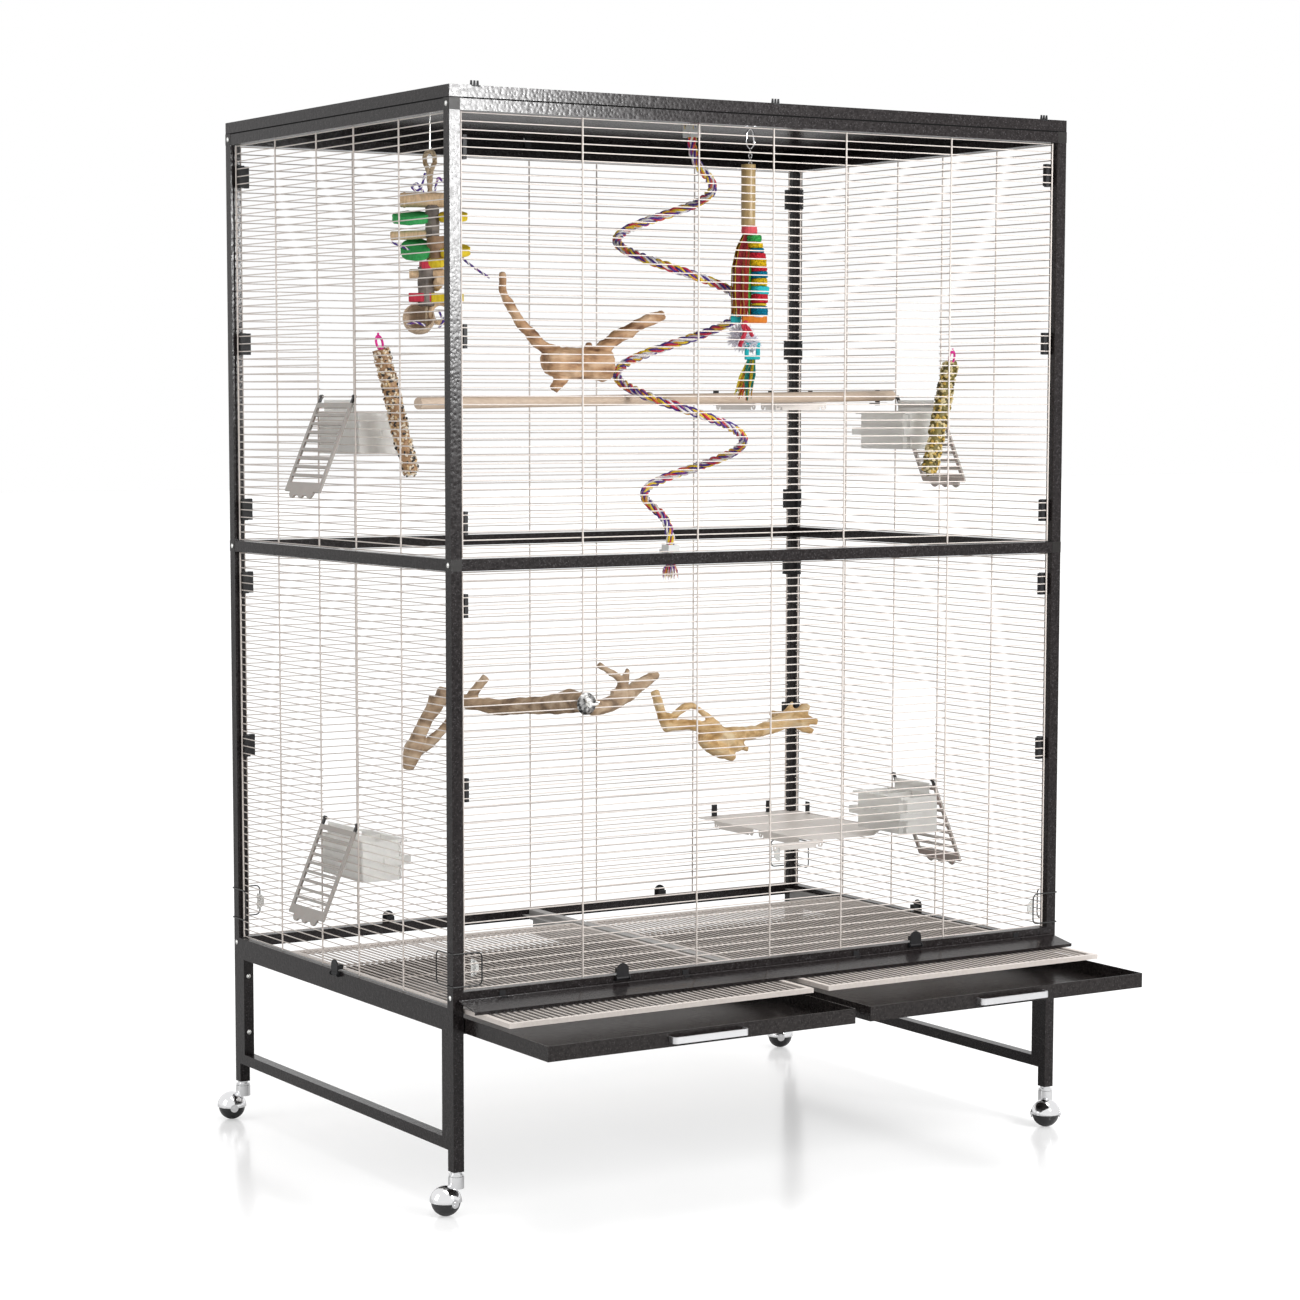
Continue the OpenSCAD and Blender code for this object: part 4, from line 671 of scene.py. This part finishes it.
# --- Block toy ---
# A twisted rope loop carries a dowel crossbar. Below it dyed slices, peeled rods and blocks sit on
# a bark core, tied with purple and white cord, with half a nut shell at the foot.
def dyed(name, colour):
    """Dyed wood or fibre with paler lines along its grain."""
    dye = Finish(name, colour, 0.6, **{"Specular IOR Level": 0.25})
    lines = dye.grain(260.0, 4.0, (1, 1, 0.2))
    pale_line = tuple(min(1.0, c * 1.5 + 0.03) for c in colour)
    dye.put({"Base Color": dye.shade(tuple(c * 0.6 for c in colour), pale_line, lines),
             "Roughness": 0.5 + 0.3 * lines})
    dye.relief(lines + dye.grain(700.0), 0.0006)
    return dye


def disc(radius, height, sides=28, lumps=0.0, round_over=1.5):
    """A disc round z, its rims rounded over, with lumps pressed in its skin."""
    shape = bmesh.new()
    bmesh.ops.create_cone(shape, cap_ends=True, segments=sides, radius1=radius, radius2=radius,
                          depth=height)
    rims = [e for e in shape.edges if abs(e.verts[0].co.z - e.verts[1].co.z) < 1e-6]
    bmesh.ops.bevel(shape, geom=rims, offset=round_over, segments=2, profile=0.5, affect="EDGES",
                    material=-1)
    if lumps:
        ends = [f for f in shape.faces if len(f.verts) > 4]
        bmesh.ops.inset_individual(shape, faces=ends, thickness=radius * 0.3)
        walls = [e for e in shape.edges if abs(e.verts[0].co.z - e.verts[1].co.z) > 3]
        bmesh.ops.subdivide_edges(shape, edges=walls, cuts=4, use_grid_fill=True)
        shape.normal_update()
        for vert in shape.verts:
            dent = noise.noise(vert.co * 0.35 + Vector((height, radius, 3)))
            vert.co += vert.normal * lumps * dent
    return shape


def box(size, round_over=1.2):
    """A box round the origin with its edges rounded over."""
    shape = bmesh.new()
    bmesh.ops.create_cube(shape, size=1)
    bmesh.ops.transform(shape, matrix=Matrix.Diagonal((*size, 1)), verts=shape.verts)
    bmesh.ops.bevel(shape, geom=shape.edges[:], offset=round_over, segments=2, profile=0.5,
                    affect="EDGES", material=-1)
    return shape


def oval_line(x, z, half_width, half_height, step=15):
    """A closed upright oval round (x, z), drawn from its right."""
    return [Vector((x + half_width * math.cos(math.radians(a)), 0,
                    z + half_height * math.sin(math.radians(a)))) for a in range(0, 361, step)]


def spot(x, y, z, tilt=0, turn=0, lean=0):
    """A place whose tilt is round x, whose lean is round y and whose turn is round z."""
    return (Matrix.Translation((x, y, z)) @ Matrix.Rotation(math.radians(turn), 4, "Z")
            @ Matrix.Rotation(math.radians(lean), 4, "Y")
            @ Matrix.Rotation(math.radians(tilt), 4, "X"))


# The toys are drawn in millimetres above toy_base and turned by toy_turn to face the lens.
toy_base, toy_turn, toy_hook_z = 0.073, -31, 1796.8


def toy_place(x, y):
    """Puts a toy under its hook."""
    return (Matrix.Translation((x, y, toy_base)) @ Matrix.Rotation(math.radians(toy_turn), 4, "Z")
            @ Matrix.Scale(0.001, 4))


bark = natural_wood("grey_bark", (0.06, 0.05, 0.045), (0.17, 0.14, 0.12), (0.3, 0.26, 0.22))
tan_bark = natural_wood("tan_bark", (0.18, 0.1, 0.05), (0.36, 0.22, 0.12), (0.5, 0.34, 0.2))
peeled = dyed("peeled_rod", (0.66, 0.46, 0.28))
green, gold = dyed("green_dye", (0.02, 0.3, 0.07)), dyed("yellow_dye", (0.78, 0.5, 0.01))
crimson, coconut = dyed("crimson_dye", (0.5, 0.02, 0.05)), dyed("nut_shell", (0.5, 0.38, 0.27))
hemp = cotton("beige_hemp", (0.55, 0.42, 0.27), (0.35, 0.24, 0.13))
blocks = Piece("hanging_blocks", "hanging_blocks", "toy_wood", toy_place(-0.5543, -0.0561))


def tied_cord(piece, points, yarns, radius):
    """A two-coloured cord twisted along points."""
    line = []
    for a, b in zip(points, points[1:]):
        line += [Vector(a).lerp(Vector(b), k / 8) for k in range(8)]
    line.append(Vector(points[-1]))
    for _ in range(4):
        line[1:-1] = [(a + b + c) / 3 for a, b, c in zip(line, line[1:], line[2:])]
    for k, yarn in enumerate(yarns):
        strand = strand_line(line, k * 2 * math.pi / len(yarns), radius * 7, radius * 0.5)
        piece.take(drawn_tube(strand, [radius * 0.56] * len(strand), 1), yarn)


hanger = [Vector((0, 0, 1794)), Vector((0.6, 0, 1755)), Vector((0, 0, 1718))]
blocks.take(drawn_tube(hanger, [1.1] * 3), zinc)
blocks.take(disc(3.9, 3.6, 20, 0, 0.5), zinc, spot(0, 0, toy_hook_z, 0, -toy_turn, 90))
tied_cord(blocks, [(0, 0, 1648), (-2, 0, 1688), (-9, 0, 1703), (-8, 0, 1716), (0, 0, 1722),
                   (8, 0, 1716), (9, 0, 1703), (2, 0, 1688), (0, 0, 1650)], (hemp,) * 3, 4.2)
blocks.take(disc(12.5, 102, 28), peeled, spot(0, 0, 1638.5, 0, 0, 90))
blocks.take(disc(13.4, 5, 28), peeled, spot(-44, 0, 1638.5, 0, 0, 90))
for core, x, z, radius, height in ((bark, 4, 1602, 12, 54), (tan_bark, 9, 1549, 15, 56),
                                   (bark, -7, 1491, 14.5, 66)):
    blocks.take(disc(radius, height, 20, 2.4), core, spot(x, 0, z))
for dye, x, z, radius, height, tilt in ((green, -33, 1608, 32, 14, 13),
                                        (green, -24, 1554, 27, 15, 33),
                                        (gold, 39, 1610, 25, 12, 14),
                                        (gold, 42, 1552, 27, 13, 17)):
    blocks.take(disc(radius, height, 28, 1.5), dye, spot(x, 0, z, tilt))
blocks.take(disc(7.5, 72, 20, 0.8), peeled, spot(-32, 0, 1579, 0, 0, 87))
blocks.take(disc(8, 62, 20, 0.8), peeled, spot(-5, 0, 1513, 0, 0, 90))
blocks.take(disc(9, 34, 20, 0.8), peeled, spot(14, -6, 1497, 70, 20, 0))
blocks.take(box((26, 30, 13)), crimson, spot(-4, 0, 1527.5, 0, 12))
blocks.take(box((24, 26, 15)), gold, spot(12, -6, 1533, 18, -14))
blocks.take(box((39, 26, 15)), crimson, spot(-17.5, 0, 1472.5))
blocks.take(box((55, 26, 16)), gold, spot(29.5, 0, 1472))
blocks.take(drawn_tube([Vector((-7, 0, 1460)), Vector((-7, 0, 1412))], [2.5, 2.5]), hemp)
bowl = bmesh.new()
bmesh.ops.create_uvsphere(bowl, u_segments=32, v_segments=20, radius=28)
bmesh.ops.bisect_plane(bowl, geom=[*bowl.verts, *bowl.edges, *bowl.faces], plane_co=(0, 0, 6),
                       plane_no=(0, 0, 1), clear_outer=True)
bmesh.ops.solidify(bowl, geom=bowl.faces[:], thickness=2.4)
for vert in bowl.verts:
    vert.co += 0.9 * Vector([noise.noise(vert.co * scale) for scale in (0.2, 0.23, 0.17)])
blocks.take(bowl, coconut, spot(-20, -4, 1437, 60))
ring = oval_line(17, 1446, 16.5, 16.5)
blocks.take(drawn_tube(ring, [4.2] * len(ring), 2), peeled)
for points in ([(44, 0, 1550), (60, -2, 1535), (80, -4, 1520), (102, -6, 1506)],
               [(-10, -2, 1650), (-22, -4, 1668), (-32, -6, 1660), (-22, -8, 1652),
                (-14, -4, 1660), (-8, -2, 1684)],
               [(8, -2, 1652), (14, -4, 1678), (24, -4, 1668)],
               [(-66, -6, 1566), (-40, -16, 1556), (-18, -12, 1540)],
               [(14, -6, 1450), (24, -14, 1432), (14, -10, 1420)],
               [(-40, -16, 1426), (-24, -26, 1430), (-8, -20, 1424)]):
    tied_cord(blocks, points, (purple, white, purple), 2.2)
blocks.stand("block_toy")


# --- Bamboo toy ---
# A snap hook and chain hold a bamboo tube. Below its collar a column of pressed mineral slices
# hangs beside a bundle of dyed leaves, then an orange plate, fluff, a block and a tail of palm
# strips.
def pressed(name, colour):
    """Pressed mineral with coarse grit, with painted shade between its grains and painted light on
    their tops.
    """
    crumb = Finish(name, colour, 0.9, **{"Specular IOR Level": 0.15})
    grit = crumb.grain(420.0, 3.0)
    # Painted shade and light: a dark copy of the colour in the low grit, a lighter copy on the high
    # grit.
    painted_pit_shade, painted_grain_light = tuple(c * 0.2 for c in colour), tuple(min(1, c * 1.3) for c in colour)
    crumb.put({"Base Color": crumb.shade(painted_pit_shade, painted_grain_light, grit * 2.4 - 0.7)})
    crumb.relief(grit, 0.0022)
    return crumb


bamboo = Finish("bamboo", (0.5, 0.33, 0.13), 0.4)
stripe = bamboo.grain(300.0, 3.0, (1, 1, 0.03))
bamboo.put({"Base Color": bamboo.shade((0.3, 0.19, 0.07), (0.56, 0.4, 0.18), stripe),
            "Roughness": 0.3 + 0.2 * stripe})
bamboo.relief(stripe, 0.0002)
teal, tomato = pressed("teal_slice", (0.0, 0.19, 0.32)), pressed("red_slice", (0.62, 0.02, 0.04))
lemon, lime = pressed("yellow_slice", (0.85, 0.5, 0.01)), pressed("green_slice", (0.05, 0.42, 0.09))
orange, pink_felt = dyed("orange_dye", (0.85, 0.2, 0.005)), dyed("pink_collar", (0.75, 0.08, 0.1))
turquoise = dyed("turquoise_dye", (0.0, 0.42, 0.46))
leaf_tones = ((0.55, 0.03, 0.02), (0.35, 0.12, 0.03), (0.08, 0.5, 0.05), (0.95, 0.66, 0.03),
              (0.95, 0.28, 0.02), (0.5, 0.2, 0.05), (0.42, 0.03, 0.04))
leaves = [dyed("leaf_%d" % i, tone) for i, tone in enumerate(leaf_tones)]
palm_tones = ((0.7, 0.3, 0.02), (0.75, 0.55, 0.03), (0.1, 0.4, 0.08), (0.02, 0.3, 0.25),
              (0.6, 0.08, 0.03))
strips = [dyed("palm_%d" % i, tone) for i, tone in enumerate(palm_tones)]
fluff = Finish("white_fluff", (0.86, 0.85, 0.9), 0.9, **{"Sheen Weight": 0.5})
fluff.put({"Base Color": fluff.shade((0.72, 0.7, 0.82), (0.93, 0.92, 0.95), fluff.grain(120.0))})
tail = Piece("hanging_bamboo", "hanging_bamboo", "toy_wood", toy_place(0.0283, -0.1757))


def ribbon(points, widths, twist):
    """A thin strip through points, its face turned by twist along the way."""
    shape, rows = bmesh.new(), []
    for i, (point, width) in enumerate(zip(points, widths)):
        angle = twist[0] + (twist[1] - twist[0]) * i / (len(points) - 1)
        across = Vector((math.cos(angle), math.sin(angle), 0)) * width / 2
        rows.append([shape.verts.new(Vector(point) + across),
                     shape.verts.new(Vector(point) - across)])
    for a, b in zip(rows, rows[1:]):
        shape.faces.new((a[0], a[1], b[1], b[0]))
    bmesh.ops.solidify(shape, geom=shape.faces[:], thickness=0.5)
    return shape


tail.take(disc(3.9, 3.6, 20, 0, 0.5), zinc, spot(0, 0, toy_hook_z, 0, 90 - toy_turn, 90))
tail.take(drawn_tube([Vector((0, 0, 1794)), Vector((0, 0, 1775))], [1.2, 1.2]), zinc)
loop = oval_line(0, 1759, 7, 17)
tail.take(drawn_tube(loop, [1.3] * len(loop), 2), chrome)
tail.take(drawn_tube([Vector((5.5, -1, 1768)), Vector((7.5, -1, 1750))], [1.8, 1.8], 2), chrome)
top_link_z, link_pitch = 1737.5, 7.6
for k in range(4):
    link = oval_line(0, 0, 2.8, 5, 30)
    tail.take(drawn_tube(link, [0.9] * len(link)), chrome,
              spot(0, 0, top_link_z - link_pitch * k, 0, 90 * (k + 1)))
tail.take(disc(12.8, 108, 32, 0.6, 1), bamboo, spot(-3, 0, 1660))
tail.take(disc(13.4, 3, 32, 0, 1), bamboo, spot(-3, 0, 1652))
tail.take(disc(14, 15, 28, 1.0), pink_felt, spot(-1, 0, 1598.5))
stack = ((lime, 14, 12, 7), (lemon, 14.5, 11, 9), (teal, 14.5, 8, 11), (tomato, 15.5, 11, 13),
         (lemon, 15.5, 13, 14.5), (tomato, 15, 9, 16), (teal, 15.5, 12, 16.5),
         (lemon, 14.5, 14, 17), (turquoise, 16.5, 14, 18), (tomato, 15.5, 16, 17),
         (gold, 14, 5, 16.5), (teal, 15.5, 17, 17), (fluff, 13, 4, 16))
stack_top, slice_gap = 1589, 0.4
level = stack_top
for finish, radius, height, x in stack:
    level -= height
    tail.take(disc(radius, height - slice_gap, 26, 1.5, 2.2), finish,
              spot(x, -3, level + height / 2, 3 * math.sin(level), level))
dice = random.Random(3)
leaf_count, fluff_count, strip_count = 64, 460, 34
for k in range(leaf_count):
    angle, bulge = dice.uniform(0, 2 * math.pi), dice.uniform(0.55, 1.0)
    away = Vector((math.cos(angle) * 0.95, math.sin(angle) * 0.9, 0))
    points = [Vector((-3, 0, 1596)) + away * 7,
              Vector((-10, 0, 1568)) + away * 15 * bulge,
              Vector((-15, 0, 1530)) + away * 19.5 * bulge,
              Vector((-16, 0, 1485)) + away * 19.5 * bulge,
              Vector((-15, 0, 1452 - 8 * bulge)) + away * (13 + 7 * bulge)]
    turn = angle + math.pi / 2 + dice.uniform(-0.4, 0.4)
    width = dice.uniform(5, 9)
    tail.take(ribbon(points, (4, width, width, width * 0.8, 2), (turn, turn + dice.uniform(-1, 1))),
              leaves[k % len(leaves)])
tail.take(box((44, 26, 13), 1.5), orange, spot(9, 0, 1440.5))
tail.take(box((18, 16, 18), 2), turquoise, spot(-24, 4, 1442))
for k in range(fluff_count):
    angle, rise = dice.uniform(0, 2 * math.pi), dice.uniform(-1, 1)
    level_share = math.sqrt(1 - rise * rise)
    way = Vector((math.cos(angle) * level_share, math.sin(angle) * level_share, rise))
    hub = Vector((-14, 0, 1408)) if k % 5 < 3 else Vector((6, 0, 1398))
    reach = dice.uniform(20, 29) if k % 5 < 3 else dice.uniform(13, 20)
    sway = Vector((dice.uniform(-4, 4), dice.uniform(-4, 4), dice.uniform(-4, 4)))
    mid = hub + way * reach * 0.55 + sway
    tail.take(drawn_tube([hub + way * 2, mid, hub + way * reach], [0.9, 1.5, 0.5], 0), fluff)
tied_cord(tail, [(-6, -12, 1436), (-14, -26, 1428), (-8, -28, 1420), (-14, -30, 1404),
                 (-19, -28, 1392)], (crimson,) * 3, 4)
tied_cord(tail, [(-10, -24, 1430), (-2, -28, 1422), (4, -26, 1410)], (crimson,) * 3, 3.4)
for size, place in (((27, 20, 7), (5.5, 0, 1396)), ((27, 20, 8), (5.5, 0, 1373)),
                    ((7, 20, 24), (-4.5, 0, 1384)), ((7, 20, 24), (15.5, 0, 1384))):
    tail.take(box(size, 1.5), turquoise, spot(*place))
for k in range(strip_count):
    slant = dice.uniform(-0.04, 0.4)
    drop = dice.uniform(58, 76)
    start = Vector((dice.uniform(-2, 9), dice.uniform(-7, 7), 1371))
    way = Vector((-math.sin(slant), dice.uniform(-0.1, 0.1), -math.cos(slant)))
    width = dice.uniform(3, 7)
    middle = start + way * drop * 0.5 + Vector((dice.uniform(-3, 3), 0, 0))
    twist = dice.uniform(-0.8, 0.8), dice.uniform(-0.8, 0.8)
    tail.take(ribbon([start, middle, start + way * drop], (width * 0.7, width, 1.5), twist),
              strips[k % len(strips)])
tail.stand("bamboo_toy")

# --- Floor and light ---
# A glossy white studio floor in white air. A narrow upright strip at the front right is only
# mirrored, down the front left post. The broad box beside it only lights the cage, and two more
# boxes stand at the left and overhead.
floor_mesh = bpy.data.meshes.new("studio_floor")
sheet = bmesh.new()
bmesh.ops.create_grid(sheet, x_segments=1, y_segments=1, size=40)
sheet.to_mesh(floor_mesh)
sheet.free()
floor = bpy.data.objects.new("studio_floor", floor_mesh)
bpy.context.scene.collection.objects.link(floor)
gloss = Finish("white_floor", (0.8, 0.8, 0.8), 0.16, **{"Emission Strength": 0.42})
gloss.put({"Emission Color": gloss.shade((0.0, 0.0, 0.0), (1.0, 1.0, 1.0),
                                         gloss.add("ShaderNodeLightPath", {}, {}, "Is Camera Ray")),
           "Roughness": 0.14 + 0.06 * gloss.grain(3.0)})
floor_mesh.materials.append(gloss.material)

world = bpy.data.worlds.new("studio")
bpy.context.scene.world = world
world.use_nodes = True
air = world.node_tree
rays = air.nodes.new("ShaderNodeLightPath")
either = air.nodes.new("ShaderNodeMath")
either.operation = "MAXIMUM"
air.links.new(rays.outputs["Is Camera Ray"], either.inputs[0])
air.links.new(rays.outputs["Is Transmission Ray"], either.inputs[1])
mirrored = air.nodes.new("ShaderNodeMath")
mirrored.operation = "MAXIMUM"
air.links.new(rays.outputs["Is Glossy Ray"], mirrored.inputs[0])
air.links.new(either.outputs[0], mirrored.inputs[1])
level = air.nodes.new("ShaderNodeMix")
air.links.new(mirrored.outputs[0], level.inputs[0])
level.inputs[2].default_value, level.inputs[3].default_value = 0.5, 1.0
air.links.new(level.outputs[0], air.nodes["Background"].inputs["Strength"])
air.nodes["Background"].inputs["Color"].default_value = (1.0, 1.0, 1.0, 1.0)


def soft_box(name, place, aim, size, power):
    """A rectangular light of a width and height in metres and a power in watts."""
    light = bpy.data.lights.new(name, "AREA")
    light.shape, light.size, light.size_y, light.energy = "RECTANGLE", *size, power
    holder = bpy.data.objects.new(name, light)
    holder.location = place
    holder.rotation_euler = (Vector(aim) - Vector(place)).to_track_quat("-Z", "Y").to_euler()
    bpy.context.scene.collection.objects.link(holder)
    return holder


glint = soft_box("front_right_strip", (0.82, -3.0, 1.98), (-0.65, -0.3, 1.75), (0.2, 0.8), 88)
glint.visible_diffuse = False
fill = soft_box("front_right_box", (1.3, -3.4, 2.3), (-0.2, -0.2, 1.3), (1.4, 1.4), 100)
fill.visible_glossy = False
soft_box("left_box", (-3.6, 0.6, 1.7), (-0.4, 0.1, 1.1), (1.6, 2.2), 16)
soft_box("top_box", (0.2, -0.6, 4.2), (0.0, 0.1, 0.5), (3.2, 2.6), 80)
